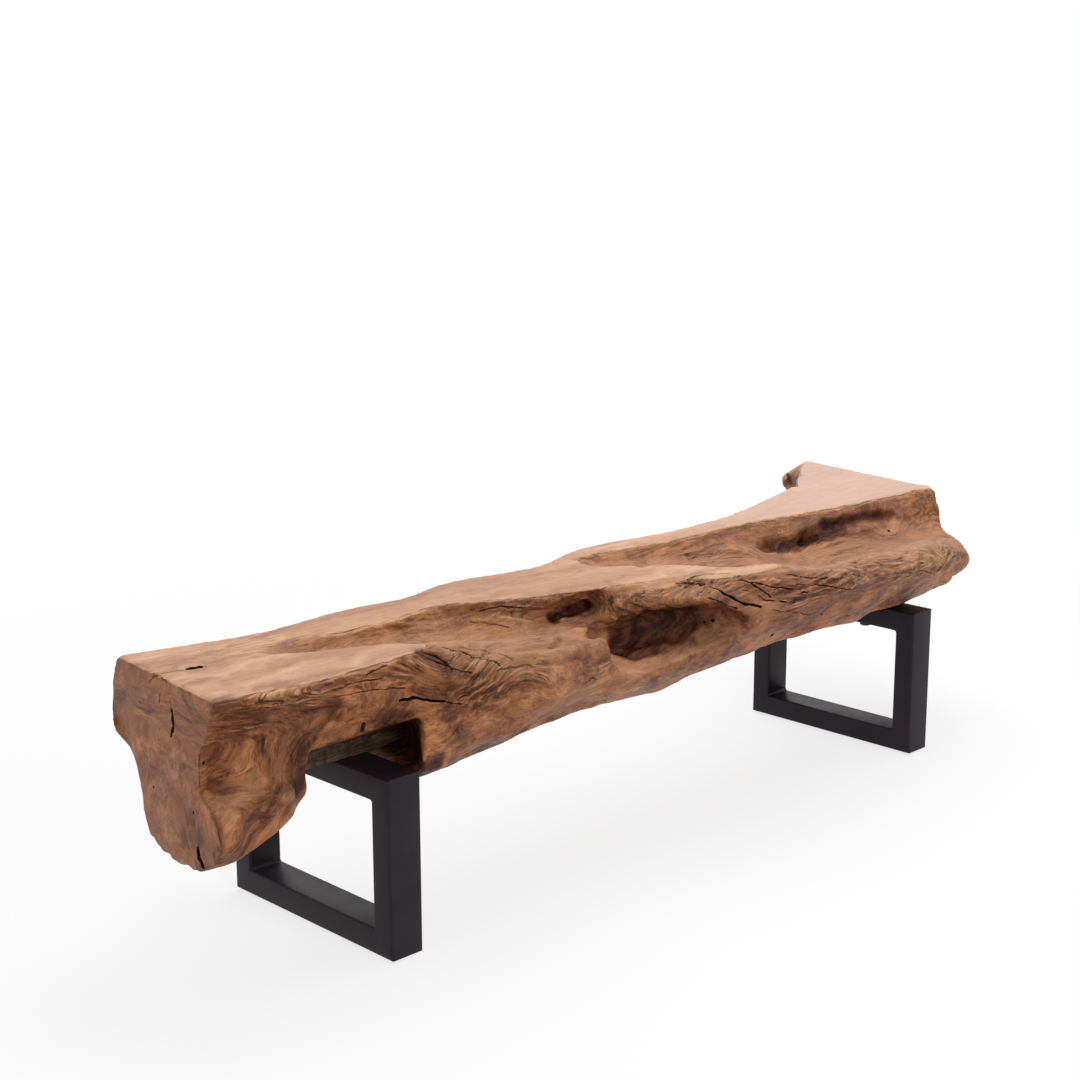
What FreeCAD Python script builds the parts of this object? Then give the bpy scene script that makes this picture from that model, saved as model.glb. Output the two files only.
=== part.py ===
"""Rustic log bench: a live-edge log with a sanded seat on two welded box-section frames.

The origin is at the middle of the bench on the floor: +X runs along the log to the right as
the photograph shows it, +Y to the back, +Z up. All lengths are in millimetres.
"""

import FreeCAD
import Part
import math
import os
import re

import Sketcher

# Driving sizes: alias, millimetres or degrees, what the size is
SIZES = (
    ("frame_spacing", 1280, "left face of the left frame to left face of the right frame"),
    ("frame_height", 275, "outer height of a frame"),
    ("frame_depth", 380, "outer depth of a frame, front to back"),
    ("frame_set_back", 282, "middle of the bench to the front of the frames"),
    ("tube_width", 60, "box section along the bench"),
    ("tube_height", 40, "box section in the plane of the frame"),
    ("tube_wall", 3, "wall of the box section"),
    ("tube_corner", 2.5, "flat that stands for the outer corner radius of the box section"),
    ("weld_leg", 5, "leg of the fillet weld in each inner corner"),
    ("pad_diameter", 30, "glide disc"),
    ("pad_thickness", 3, "glide disc"),
    ("pad_inset", 24, "middle of a glide from the end of its frame"),
    ("stem_diameter", 8, "threaded stem of a glide"),
    ("stem_length", 24, "threaded stem of a glide"),
    ("stem_clearance", 0.08, "radial running clearance of the stem in its nut"),
    ("nut_flats", 11, "hexagon body of the rivet nut, across flats"),
    ("nut_length", 16, "body of the rivet nut"),
    ("flange_diameter", 16, "flange of the rivet nut"),
    ("flange_thickness", 1, "flange of the rivet nut"),
    ("screw_diameter", 12, "coach screw"),
    ("screw_length", 110, "coach screw under its head"),
    ("head_flats", 19, "hexagon head across flats"),
    ("head_height", 8, "hexagon head"),
    ("screw_spacing", 120, "between the two screws of a frame"),
    ("screw_clearance", 0.5, "radial clearance of the screw in steel and in the stick"),
    ("pilot_clearance", 0.05, "radial allowance of the screw in the log"),
    ("washer_diameter", 24, "washer under the screw head"),
    ("washer_thickness", 2.5, "washer under the screw head"),
    ("log_width", 400, "scale of the log's outline, front to back"),
    ("log_height", 171, "seat above the top rails"),
    ("log_overhang", 274, "log beyond the left frame"),
    ("far_overhang", 406, "log, before its saw cut, beyond the left face of the right frame"),
    ("left_skew", 6.2, "degrees that the left saw cut is off square"),
    ("right_skew", 9.9, "degrees that the right saw cut is off square"),
    ("right_trim", 106, "right end of the log to its saw cut, at the front of the frames"),
    ("housing_clearance", 3, "each side of a top rail in the log's underside"),
    ("hollow_left", 85, "open hollow under the log, left of the left frame"),
    ("hollow_right", 4, "open hollow under the log, right of the left frame, at its mouth"),
    ("hollow_behind", 6, "hollow behind the packer stick"),
    ("hollow_rise", 81, "roof of the hollow above the rail, at its mouth"),
    ("stick_width", 28, "packer stick"),
    ("stick_thickness", 30, "packer stick, its height over the rail"),
    ("stick_length", 200, "packer stick"),
    ("stick_inset", 20, "left end of the packer stick from the left end of the hollow"),
    ("stick_clearance", 3, "right end of the packer stick from the right wall of the hollow"),
    ("stick_edge", 6, "worn corners of the packer stick"),
    ("overrun", 60, "how far a cutter reaches past what it cuts"),
)

# Heights and places that several pieces follow
FLOOR_GAP = "(pad_thickness + flange_thickness)"
RAIL_TOP = f"({FLOOR_GAP} + frame_height)"
RAIL_UNDERSIDE = f"({RAIL_TOP} - tube_height)"
SEAT = f"({RAIL_TOP} + log_height)"
LOG_LENGTH = "(log_overhang + frame_spacing + far_overhang)"
LOG_LEFT = f"(-{LOG_LENGTH} / 2)"
FRAME_FRONT = "(-frame_set_back)"
FRAME_LEFT = {
    "left": f"({LOG_LEFT} + log_overhang)",
    "right": f"({LOG_LEFT} + log_overhang + frame_spacing)",
}
FRONT_SCREW = f"({FRAME_FRONT} + (frame_depth - screw_spacing) / 2)"
REAR_SCREW = f"({FRAME_FRONT} + (frame_depth + screw_spacing) / 2)"
STICK_FRONT = "((frame_depth - screw_spacing - stick_width) / 2)"
SCREW_SPOTS = [
    (side, end, back) for side in FRAME_LEFT for end, back in (("front", FRONT_SCREW), ("rear", REAR_SCREW))
]

# The log's sections, each a share of the log's length from its left end with the points round the
# log there: shares of log_width behind the front of the frames, then shares of log_height
# above the top rails. The points run from the back of the seat to its front, down the front,
# and back under the log. The seat's plane, at share 1, trims what stands above it.
LOG_SECTION_SHARES = (
    (-0.018,
     (0.77, 0.71, 0.62, 0.51, 0.39, 0.26, 0.15, 0.05, 0.08, 0.15, 0.18, 0.09, 0.03, 0.11, 0.32, 0.56,
      0.62, 0.67, 0.82),
     (1.01, 1.13, 1.18, 1.18, 1.18, 1.18, 1.14, 1.00, 0.77, 0.55, 0.23, 0.06, -0.19, -0.44, -0.58, -0.54,
      -0.18, 0.18, 0.49)),
    (0.022,
     (0.74, 0.69, 0.61, 0.51, 0.38, 0.26, 0.14, 0.04, 0.07, 0.14, 0.17, 0.07, 0.01, 0.12, 0.30, 0.55,
      0.61, 0.67, 0.81),
     (1.01, 1.13, 1.18, 1.18, 1.18, 1.18, 1.14, 1.00, 0.77, 0.56, 0.27, 0.06, -0.18, -0.41, -0.52, -0.46,
      -0.15, 0.21, 0.54)),
    (0.058,
     (0.70, 0.65, 0.59, 0.50, 0.38, 0.25, 0.14, 0.01, 0.06, 0.14, 0.15, 0.07, 0.04, 0.13, 0.30, 0.51,
      0.60, 0.66, 0.76),
     (1.01, 1.13, 1.18, 1.18, 1.18, 1.18, 1.15, 1.00, 0.78, 0.54, 0.31, 0.06, -0.14, -0.31, -0.38, -0.32,
      -0.10, 0.23, 0.58)),
    (0.094,
     (0.66, 0.60, 0.56, 0.47, 0.36, 0.24, 0.12, 0.00, 0.04, 0.12, 0.16, 0.13, 0.13, 0.20, 0.31, 0.47,
      0.59, 0.66, 0.71),
     (1.01, 1.13, 1.18, 1.18, 1.18, 1.18, 1.15, 1.00, 0.77, 0.54, 0.33, 0.14, -0.01, -0.13, -0.17, -0.14,
      0.01, 0.27, 0.60)),
    (0.140,
     (0.64, 0.59, 0.54, 0.46, 0.35, 0.24, 0.12, 0.02, 0.01, 0.03, 0.06, 0.06, 0.07, 0.15, 0.30, 0.47,
      0.60, 0.68, 0.70),
     (1.01, 1.13, 1.18, 1.18, 1.18, 1.18, 1.15, 1.00, 0.80, 0.59, 0.39, 0.19, 0.04, -0.06, -0.12, -0.13,
      -0.05, 0.23, 0.59)),
    (0.176,
     (0.66, 0.60, 0.56, 0.47, 0.36, 0.25, 0.15, 0.05, 0.01, -0.01, -0.03, -0.02, 0.02, 0.12, 0.30, 0.47,
      0.61, 0.69, 0.71),
     (1.01, 1.13, 1.18, 1.18, 1.18, 1.18, 1.15, 1.00, 0.82, 0.62, 0.39, 0.17, -0.03, -0.15, -0.21, -0.20,
      -0.05, 0.25, 0.60)),
    (0.232,
     (0.67, 0.61, 0.56, 0.47, 0.38, 0.26, 0.15, 0.04, -0.02, -0.05, -0.06, -0.02, 0.06, 0.17, 0.33, 0.49,
      0.61, 0.69, 0.72),
     (1.01, 1.13, 1.18, 1.18, 1.18, 1.12, 0.98, 0.87, 0.76, 0.58, 0.36, 0.12, -0.08, -0.19, -0.23, -0.19,
      0.01, 0.29, 0.62)),
    (0.293,
     (0.68, 0.63, 0.57, 0.49, 0.38, 0.25, 0.12, 0.00, -0.07, -0.10, -0.10, -0.04, 0.04, 0.17, 0.34, 0.50,
      0.63, 0.71, 0.73),
     (1.01, 1.13, 1.18, 1.18, 1.18, 1.04, 0.91, 0.84, 0.73, 0.56, 0.35, 0.15, 0.02, -0.10, -0.16, -0.12,
      0.05, 0.31, 0.64)),
    (0.354,
     (0.71, 0.66, 0.61, 0.53, 0.42, 0.33, 0.24, 0.14, 0.01, -0.04, -0.05, -0.01, 0.06, 0.20, 0.35, 0.51,
      0.65, 0.73, 0.76),
     (1.01, 1.13, 1.18, 1.18, 1.18, 1.15, 1.04, 0.92, 0.78, 0.59, 0.39, 0.19, 0.04, -0.08, -0.13, -0.10,
      0.08, 0.33, 0.65)),
    (0.415,
     (0.66, 0.62, 0.59, 0.53, 0.42, 0.33, 0.25, 0.17, 0.05, -0.03, -0.04, -0.01, 0.07, 0.20, 0.35, 0.50,
      0.62, 0.71, 0.71),
     (1.01, 1.13, 1.18, 1.18, 1.18, 1.15, 1.07, 0.96, 0.80, 0.60, 0.36, 0.15, -0.02, -0.13, -0.18, -0.15,
      0.03, 0.30, 0.64)),
    (0.466,
     (0.73, 0.69, 0.65, 0.60, 0.51, 0.44, 0.30, 0.09, 0.00, -0.05, -0.06, -0.01, 0.07, 0.20, 0.36, 0.53,
      0.65, 0.74, 0.76),
     (1.01, 1.07, 1.01, 0.94, 0.94, 0.99, 1.11, 1.01, 0.85, 0.64, 0.39, 0.15, -0.01, -0.12, -0.16, -0.12,
      0.05, 0.31, 0.65)),
    (0.512,
     (0.77, 0.71, 0.66, 0.58, 0.45, 0.33, 0.23, 0.00, -0.06, -0.09, -0.07, -0.02, 0.07, 0.20, 0.36, 0.53,
      0.66, 0.74, 0.80),
     (1.01, 1.09, 1.00, 0.85, 0.80, 0.88, 1.01, 1.01, 0.87, 0.68, 0.43, 0.19, 0.06, -0.04, -0.08, -0.05,
      0.10, 0.35, 0.66)),
    (0.563,
     (0.75, 0.69, 0.61, 0.54, 0.40, 0.24, 0.07, -0.05, -0.10, -0.11, -0.08, 0.00, 0.09, 0.21, 0.38, 0.54,
      0.66, 0.74, 0.78),
     (1.01, 1.13, 1.00, 0.81, 0.72, 0.78, 0.94, 1.00, 0.85, 0.68, 0.44, 0.21, 0.08, -0.01, -0.04, -0.02,
      0.12, 0.36, 0.66)),
    (0.624,
     (0.73, 0.67, 0.60, 0.53, 0.39, 0.23, 0.07, -0.06, -0.12, -0.10, -0.06, 0.01, 0.10, 0.23, 0.38, 0.54,
      0.67, 0.74, 0.77),
     (1.01, 1.13, 0.99, 0.78, 0.64, 0.66, 0.78, 0.88, 0.78, 0.62, 0.40, 0.19, 0.06, -0.01, -0.04, -0.04,
      0.12, 0.37, 0.66)),
    (0.691,
     (0.75, 0.67, 0.59, 0.53, 0.40, 0.25, 0.09, -0.04, -0.10, -0.09, -0.04, 0.03, 0.10, 0.24, 0.39, 0.56,
      0.69, 0.77, 0.79),
     (1.01, 1.14, 0.99, 0.75, 0.58, 0.59, 0.71, 0.81, 0.71, 0.53, 0.33, 0.15, 0.05, -0.02, -0.05, -0.05,
      0.10, 0.36, 0.66)),
    (0.752,
     (0.82, 0.69, 0.55, 0.49, 0.38, 0.25, 0.12, 0.01, -0.07, -0.05, 0.00, 0.06, 0.12, 0.25, 0.40, 0.59,
      0.75, 0.84, 0.87),
     (1.01, 1.15, 0.99, 0.77, 0.58, 0.58, 0.68, 0.78, 0.68, 0.49, 0.29, 0.13, 0.05, -0.02, -0.05, -0.05,
      0.08, 0.36, 0.68)),
    (0.813,
     (0.91, 0.71, 0.51, 0.47, 0.39, 0.29, 0.17, 0.06, -0.01, 0.00, 0.04, 0.09, 0.15, 0.28, 0.42, 0.64,
      0.82, 0.93, 0.96),
     (1.01, 1.16, 0.99, 0.78, 0.59, 0.57, 0.64, 0.72, 0.61, 0.43, 0.25, 0.11, 0.02, -0.02, -0.05, -0.05,
      0.10, 0.39, 0.70)),
    (0.869,
     (1.01, 0.75, 0.49, 0.47, 0.41, 0.33, 0.23, 0.13, 0.06, 0.07, 0.10, 0.14, 0.19, 0.31, 0.46, 0.68,
      0.89, 1.02, 1.07),
     (1.01, 1.16, 0.99, 0.80, 0.61, 0.56, 0.59, 0.64, 0.53, 0.37, 0.22, 0.11, 0.04, 0.01, -0.01, 0.04,
      0.23, 0.47, 0.72)),
    (0.920,
     (1.16, 0.81, 0.48, 0.47, 0.44, 0.38, 0.29, 0.20, 0.14, 0.14, 0.17, 0.21, 0.26, 0.38, 0.53, 0.75,
      1.00, 1.16, 1.22),
     (1.01, 1.16, 0.99, 0.81, 0.65, 0.55, 0.53, 0.50, 0.40, 0.27, 0.17, 0.10, 0.06, 0.05, 0.08, 0.16,
      0.35, 0.54, 0.75)),
    (0.960,
     (1.29, 0.91, 0.52, 0.48, 0.43, 0.40, 0.32, 0.25, 0.21, 0.20, 0.23, 0.28, 0.34, 0.45, 0.68, 0.95,
      1.20, 1.36, 1.43),
     (1.01, 1.16, 0.99, 0.85, 0.70, 0.58, 0.46, 0.38, 0.30, 0.20, 0.13, 0.09, 0.08, 0.11, 0.19, 0.33,
      0.47, 0.61, 0.77)),
    (1.004,
     (1.42, 1.00, 0.57, 0.51, 0.45, 0.41, 0.33, 0.26, 0.22, 0.21, 0.24, 0.29, 0.35, 0.47, 0.71, 1.00,
      1.24, 1.41, 1.49),
     (1.01, 1.16, 0.99, 0.85, 0.71, 0.59, 0.46, 0.38, 0.30, 0.20, 0.12, 0.06, 0.05, 0.10, 0.19, 0.33,
      0.47, 0.61, 0.75)),
)

# The long trough that opens to the front: station, then the middle of its round section
# across and up, its half width, and its half height, in shares as above
TROUGH_SHARES = (
    (0.085, 0.430, 1.10, 0.04, 0.09),
    (0.110, 0.400, 1.08, 0.07, 0.17),
    (0.140, 0.370, 1.06, 0.10, 0.25),
    (0.170, 0.325, 1.05, 0.12, 0.29),
    (0.200, 0.290, 1.05, 0.15, 0.33),
    (0.240, 0.285, 1.06, 0.18, 0.38),
    (0.275, 0.270, 1.06, 0.21, 0.42),
    (0.320, 0.180, 1.04, 0.19, 0.42),
    (0.365, 0.100, 1.02, 0.18, 0.40),
    (0.400, 0.080, 1.00, 0.14, 0.34),
    (0.435, 0.060, 1.02, 0.11, 0.27),
    (0.470, 0.030, 1.06, 0.08, 0.20),
    (0.500, 0.000, 1.10, 0.05, 0.13),
)

# The oval cavity in the front face, as the trough
CAVITY_SHARES = (
    (0.364, -0.02, 0.65, 0.03, 0.04),
    (0.374, -0.02, 0.62, 0.17, 0.20),
    (0.395, -0.02, 0.60, 0.26, 0.29),
    (0.425, -0.03, 0.61, 0.27, 0.30),
    (0.456, -0.04, 0.61, 0.20, 0.26),
    (0.487, -0.05, 0.59, 0.13, 0.20),
    (0.510, -0.06, 0.57, 0.08, 0.13),
    (0.525, -0.06, 0.55, 0.02, 0.03),
)

# The dark pocket under the seat's edge at the end of the trough, as the trough
POCKET_SHARES = (
    (0.330, 0.28, 0.84, 0.03, 0.03),
    (0.352, 0.26, 0.83, 0.08, 0.10),
    (0.380, 0.22, 0.82, 0.11, 0.14),
    (0.405, 0.20, 0.82, 0.11, 0.15),
    (0.419, 0.18, 0.82, 0.02, 0.03),
)

# How many narrow flats run round the log and round its hollows
LOG_SIDE_COUNT = 28
TROUGH_SIDE_COUNT = 14
HOLLOW_SIDE_COUNT = 11

DOC = FreeCAD.newDocument("log_bench")
SHEET = DOC.addObject("Spreadsheet::Sheet", "Sizes")
ALIASES = {alias for alias, _, _ in SIZES}
NODES = []


def fill_sheet():
    """Keep each driving size in a row of the sheet."""
    for row, (alias, size, note) in enumerate(SIZES, start=1):
        SHEET.set(f"A{row}", note)
        SHEET.set(f"B{row}", str(size))
        SHEET.setAlias(f"B{row}", alias)
    DOC.recompute()


def over_sheet(formula):
    """The formula with each alias read from the sheet."""
    return re.sub(r"[a-z_]+", lambda word: f"Sizes.{word[0]}" if word[0] in ALIASES else word[0], formula)


def value(formula):
    """The number that a formula over the sheet gives."""
    return float(SHEET.evalExpression(over_sheet(formula)))


def bind(item, **formulas):
    """Bind properties of an object to formulas over the sheet."""
    for name, formula in formulas.items():
        item.setExpression(name, over_sheet(formula))


def place(item, across="0", back="0", up="0"):
    """Bind an object's place along X, Y and Z."""
    for axis, formula in (("x", across), ("y", back), ("z", up)):
        item.setExpression(f"Placement.Base.{axis}", over_sheet(formula))


def node(item, name):
    """Keep an object as a piece of the bench."""
    item.Label = name
    NODES.append(item)
    return item


def primitive(kind, name, **formulas):
    """A bound Part primitive."""
    item = DOC.addObject(f"Part::{kind}", name)
    bind(item, **formulas)
    return item


def group(name, members):
    """Separate solids that share one node."""
    item = DOC.addObject("Part::Compound", name)
    item.Links = members
    return node(item, name)


def new_body(name):
    return DOC.addObject("PartDesign::Body", name)


def new_sketch(body, plane):
    """An empty sketch on one of the body's own planes."""
    sketch = body.newObject("Sketcher::SketchObject", f"{body.Name}_sketch")
    origin = [feature for feature in body.Origin.OriginFeatures if feature.Role == plane]
    sketch.AttachmentSupport = [(origin[0], "")]
    sketch.MapMode = "FlatFace"
    return sketch


def hold_point(sketch, edge, vertex, across, up):
    """Hold a sketch point at a place given by two formulas."""
    if across == "0":
        sketch.addConstraint(Sketcher.Constraint("PointOnObject", edge, vertex, -2))
    else:
        index = sketch.addConstraint(Sketcher.Constraint("DistanceX", -1, 1, edge, vertex, value(across)))
        sketch.setExpression(f"Constraints[{index}]", over_sheet(across))
    if up == "0":
        sketch.addConstraint(Sketcher.Constraint("PointOnObject", edge, vertex, -1))
    else:
        index = sketch.addConstraint(Sketcher.Constraint("DistanceY", -1, 1, edge, vertex, value(up)))
        sketch.setExpression(f"Constraints[{index}]", over_sheet(up))


def polygon(body, plane, corners):
    """A closed outline; each corner is a pair of formulas that are never negative."""
    sketch = new_sketch(body, plane)
    points = [FreeCAD.Vector(value(across), value(up), 0) for across, up in corners]
    last = len(points) - 1
    for start, end in zip(points, points[1:] + points[:1]):
        sketch.addGeometry(Part.LineSegment(start, end), False)
    for index in range(last):
        sketch.addConstraint(Sketcher.Constraint("Coincident", index, 2, index + 1, 1))
    sketch.addConstraint(Sketcher.Constraint("Coincident", last, 2, 0, 1))
    for index, (across, up) in enumerate(corners):
        hold_point(sketch, index, 1, across, up)
    return sketch


def hexagon(flats, across, up):
    """Corners of a hexagon that points along the first axis."""
    half, point = f"{flats} / 2", f"{flats} / 2 / cos(30)"
    return (
        (f"{across} + {point}", up), (f"{across} + {point} / 2", f"{up} + {half}"),
        (f"{across} - {point} / 2", f"{up} + {half}"), (f"{across} - {point}", up),
        (f"{across} - {point} / 2", f"{up} - {half}"), (f"{across} + {point} / 2", f"{up} - {half}"),
    )


def circles(body, plane, diameter, centres):
    """Equal circles round the centres, which are pairs of formulas."""
    sketch = new_sketch(body, plane)
    for index, (across, up) in enumerate(centres):
        centre = FreeCAD.Vector(value(across), value(up), 0)
        sketch.addGeometry(Part.Circle(centre, FreeCAD.Vector(0, 0, 1), value(diameter) / 2), False)
        size = sketch.addConstraint(Sketcher.Constraint("Diameter", index, value(diameter)))
        sketch.setExpression(f"Constraints[{size}]", over_sheet(diameter))
        hold_point(sketch, index, 3, across, up)
    return sketch


def pad(body, sketch, length):
    feature = body.newObject("PartDesign::Pad", f"{body.Name}_pad")
    feature.Profile = sketch
    bind(feature, Length=length)
    DOC.recompute()
    return feature


def pocket(body, sketch, length=None):
    """Cut both ways from the sketch: right through, or a length in all."""
    feature = body.newObject("PartDesign::Pocket", f"{body.Name}_pocket")
    feature.Profile = sketch
    feature.SideType = "Symmetric"
    before = body.Shape.Volume
    if length is None:
        feature.Type = "ThroughAll"
    else:
        feature.Type = "Length"
        bind(feature, Length=length)
    DOC.recompute()
    if not feature.Shape.Volume < before:
        raise RuntimeError(f"a pocket of {body.Name} cuts nothing")
    return feature


def turned(name, corners):
    """A round piece from half its outline: pairs of radius and height formulas."""
    body = new_body(name)
    sketch = polygon(body, "XZ_Plane", corners)
    feature = body.newObject("PartDesign::Revolution", f"{name}_turn")
    feature.Profile = sketch
    feature.ReferenceAxis = (sketch, ["V_Axis"])
    DOC.recompute()
    return body


def bevelled(width, height, edge):
    """Corners of a rectangle with its corners cut off."""
    return (
        (edge, "0"), (f"{width} - {edge}", "0"), (width, edge), (width, f"{height} - {edge}"),
        (f"{width} - {edge}", height), (edge, height), ("0", f"{height} - {edge}"), ("0", edge),
    )


# Frames

def tube(name, length, quarter_turns, spot):
    """A mitred length of box section. Its outer wall is at its own Y zero."""
    body = new_body(name)
    pad(body, polygon(body, "XY_Plane", bevelled("tube_width", "tube_height", "tube_corner")), length)
    near, far_across, far_up = "tube_wall", "tube_width - tube_wall", "tube_height - tube_wall"
    pocket(body, polygon(body, "XY_Plane", (
        (near, near), (far_across, near), (far_across, far_up), (near, far_up),
    )))
    pocket(body, polygon(body, "YZ_Plane", (
        ("0", "0"), ("tube_height", "0"), ("tube_height", "tube_height"),
    )))
    pocket(body, polygon(body, "YZ_Plane", (
        ("0", length), ("tube_height", f"{length} - tube_height"), ("tube_height", length),
    )))
    body.Placement.Rotation = FreeCAD.Rotation(FreeCAD.Vector(1, 0, 0), 90 * quarter_turns)
    place(body, *spot)
    return node(body, name)


def frame(side):
    """Four tubes round a loop, with the holes for screws and glides in the two rails."""
    left = FRAME_LEFT[side]
    rear = f"({FRAME_FRONT} + frame_depth)"
    tube(f"{side}_front_post", "frame_height", 0, (left, FRAME_FRONT, FLOOR_GAP))
    lower = tube(f"{side}_bottom_rail", "frame_depth", 1, (left, rear, FLOOR_GAP))
    tube(f"{side}_rear_post", "frame_height", 2, (left, rear, RAIL_TOP))
    upper = tube(f"{side}_top_rail", "frame_depth", 3, (left, FRAME_FRONT, RAIL_TOP))
    middle = "tube_width / 2"
    pocket(upper, circles(upper, "XZ_Plane", "screw_diameter + 2 * screw_clearance", (
        (middle, "(frame_depth - screw_spacing) / 2"), (middle, "(frame_depth + screw_spacing) / 2"),
    )))
    for along in ("pad_inset", "(frame_depth - pad_inset)"):
        pocket(lower, polygon(lower, "XZ_Plane", hexagon("nut_flats", middle, along)), "4 * tube_wall")


def weld_bead(name, left, quarter_turns, back, up):
    """A hollow fillet weld along one inner corner of a frame."""
    block = primitive("Box", f"{name}_block", Length="tube_width - 2 * tube_corner", Width="weld_leg",
                      Height="weld_leg")
    scoop = primitive("Cylinder", f"{name}_scoop", Radius="weld_leg", Height="tube_width")
    scoop.Placement.Rotation = FreeCAD.Rotation(FreeCAD.Vector(0, 1, 0), 90)
    place(scoop, "-tube_corner", "weld_leg", "weld_leg")
    bead = DOC.addObject("Part::Cut", name)
    bead.Base = block
    bead.Tool = scoop
    bead.Placement.Rotation = FreeCAD.Rotation(FreeCAD.Vector(1, 0, 0), 90 * quarter_turns)
    place(bead, f"{left} + tube_corner", back, up)
    return bead


def weld_beads(side):
    low = f"{FLOOR_GAP} + tube_height"
    front = f"{FRAME_FRONT} + tube_height"
    rear = f"{FRAME_FRONT} + frame_depth - tube_height"
    corners = ((0, front, low), (1, rear, low), (2, rear, RAIL_UNDERSIDE), (3, front, RAIL_UNDERSIDE))
    left = FRAME_LEFT[side]
    return [weld_bead(f"{side}_bead_{turns}", left, turns, back, up) for turns, back, up in corners]


# Glides and their rivet nuts

def glide(side, end, back):
    """A threaded glide: its disc and, standing on that, its stem."""
    across = f"{FRAME_LEFT[side]} + tube_width / 2"
    name = f"{end}_{side}_glide"
    disc = primitive("Cylinder", f"{name}_disc", Radius="pad_diameter / 2", Height="pad_thickness")
    place(disc, across, back)
    node(disc, f"{name}_disc")
    stem = primitive("Cylinder", f"{name}_stem", Radius="stem_diameter / 2", Height="stem_length")
    place(stem, across, back, "pad_thickness")
    node(stem, f"{name}_stem")


def rivet_nut(name, side, back):
    """A hexagon-bodied rivet nut, its flange under the rail."""
    flange = primitive("Cylinder", f"{name}_flange", Radius="flange_diameter / 2", Height="flange_thickness")
    shell = primitive("Prism", f"{name}_shell", Circumradius="nut_flats / 2 / cos(30)",
                      Height="flange_thickness + nut_length")
    shell.Polygon = 6
    blank = DOC.addObject("Part::MultiFuse", f"{name}_blank")
    blank.Shapes = [flange, shell]
    bore = primitive("Cylinder", f"{name}_bore", Radius="stem_diameter / 2 + stem_clearance",
                     Height="flange_thickness + nut_length")
    nut = DOC.addObject("Part::Cut", name)
    nut.Base = blank
    nut.Tool = bore
    place(nut, f"{FRAME_LEFT[side]} + tube_width / 2", back, "pad_thickness")
    return nut


def glides(side):
    """The two glides of a frame. Returns their rivet nuts."""
    ends = (("front", f"{FRAME_FRONT} + pad_inset"), ("rear", f"{FRAME_FRONT} + frame_depth - pad_inset"))
    for end, back in ends:
        glide(side, end, back)
    return [rivet_nut(f"{end}_{side}_nut", side, back) for end, back in ends]


# Coach screws and washers that hold the log

def coach_screw(name, side, back):
    """A hexagon-headed wood screw, pointing up from its head."""
    head = primitive("Prism", f"{name}_head", Circumradius="head_flats / 2 / cos(30)", Height="head_height")
    head.Polygon = 6
    shank = primitive("Cylinder", f"{name}_shank", Radius="screw_diameter / 2", Height="screw_length")
    place(shank, up="head_height")
    screw = DOC.addObject("Part::MultiFuse", name)
    screw.Shapes = [head, shank]
    up = f"{RAIL_UNDERSIDE} - washer_thickness - head_height"
    place(screw, f"{FRAME_LEFT[side]} + tube_width / 2", back, up)
    return screw


def washer(name, side, back):
    hole, rim = "screw_diameter / 2 + screw_clearance", "washer_diameter / 2"
    ring = turned(name, ((hole, "0"), (rim, "0"), (rim, "washer_thickness"), (hole, "washer_thickness")))
    place(ring, f"{FRAME_LEFT[side]} + tube_width / 2", back, f"{RAIL_UNDERSIDE} - washer_thickness")
    return ring


# Packer stick between the left top rail and the log

def packer_stick():
    """A weathered batten on the rail, drilled for the front screw."""
    body = new_body("packer_stick")
    outline = bevelled("stick_length", "stick_width", "stick_edge")
    pad(body, polygon(body, "XY_Plane", outline), "stick_thickness")
    pocket(body, circles(body, "XY_Plane", "screw_diameter + 2 * screw_clearance", (
        ("hollow_left - stick_inset + tube_width / 2", "stick_width / 2"),
    )))
    left = f"{FRAME_LEFT['left']} - hollow_left + stick_inset"
    place(body, left, f"{FRAME_FRONT} + {STICK_FRONT}", RAIL_TOP)
    return node(body, "packer_stick")


# Log

def log_point(station_share, across_share, up_share):
    """A point of the log from its shares."""
    return FreeCAD.Vector(
        value(LOG_LEFT) + station_share * value(LOG_LENGTH),
        value(FRAME_FRONT) + across_share * value("log_width"),
        value(RAIL_TOP) + up_share * value("log_height"),
    )


def shared_knots(sections):
    """One list of curve parameters for all sections: the mean run from each point to the next."""
    knots = [0.0]
    for index in range(len(sections[0])):
        runs = [points[(index + 1) % len(points)].distanceToPoint(points[index]) for points in sections]
        knots.append(knots[-1] + sum(runs) / len(runs))
    return knots


def skin(sections, side_count):
    """A closed solid lofted through rings of points: smooth lengthways, with narrow flats round it."""
    knots = shared_knots(sections)
    steps = [knots[-1] * step / side_count for step in range(side_count)]
    wires = []
    for points in sections:
        curve = Part.BSplineCurve()
        curve.interpolate(Points=points, PeriodicFlag=True, Parameters=knots)
        ring = [curve.value(step) for step in steps]
        wires.append(Part.makePolygon(ring + ring[:1]))
    return Part.makeLoft(wires, True, False)


def log_blank():
    """The log before it is sawn: one smooth skin through its sections."""
    sections = []
    for station, across_shares, up_shares in LOG_SECTION_SHARES:
        sections.append([log_point(station, across, up) for across, up in zip(across_shares, up_shares)])
    blank = DOC.addObject("Part::Feature", "log_blank")
    blank.Shape = skin(sections, LOG_SIDE_COUNT)
    return blank


def scoop(name, shares, side_count):
    """A lofted tool of round sections that hollows the log."""
    sections = []
    for station, across, up, half_width, half_height in shares:
        sections.append([
            log_point(station, across + half_width * math.cos(angle), up + half_height * math.sin(angle))
            for angle in (math.radians(turn) for turn in range(0, 360, 60))
        ])
    tool = DOC.addObject("Part::Feature", name)
    tool.Shape = skin(sections, side_count)
    return tool


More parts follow.
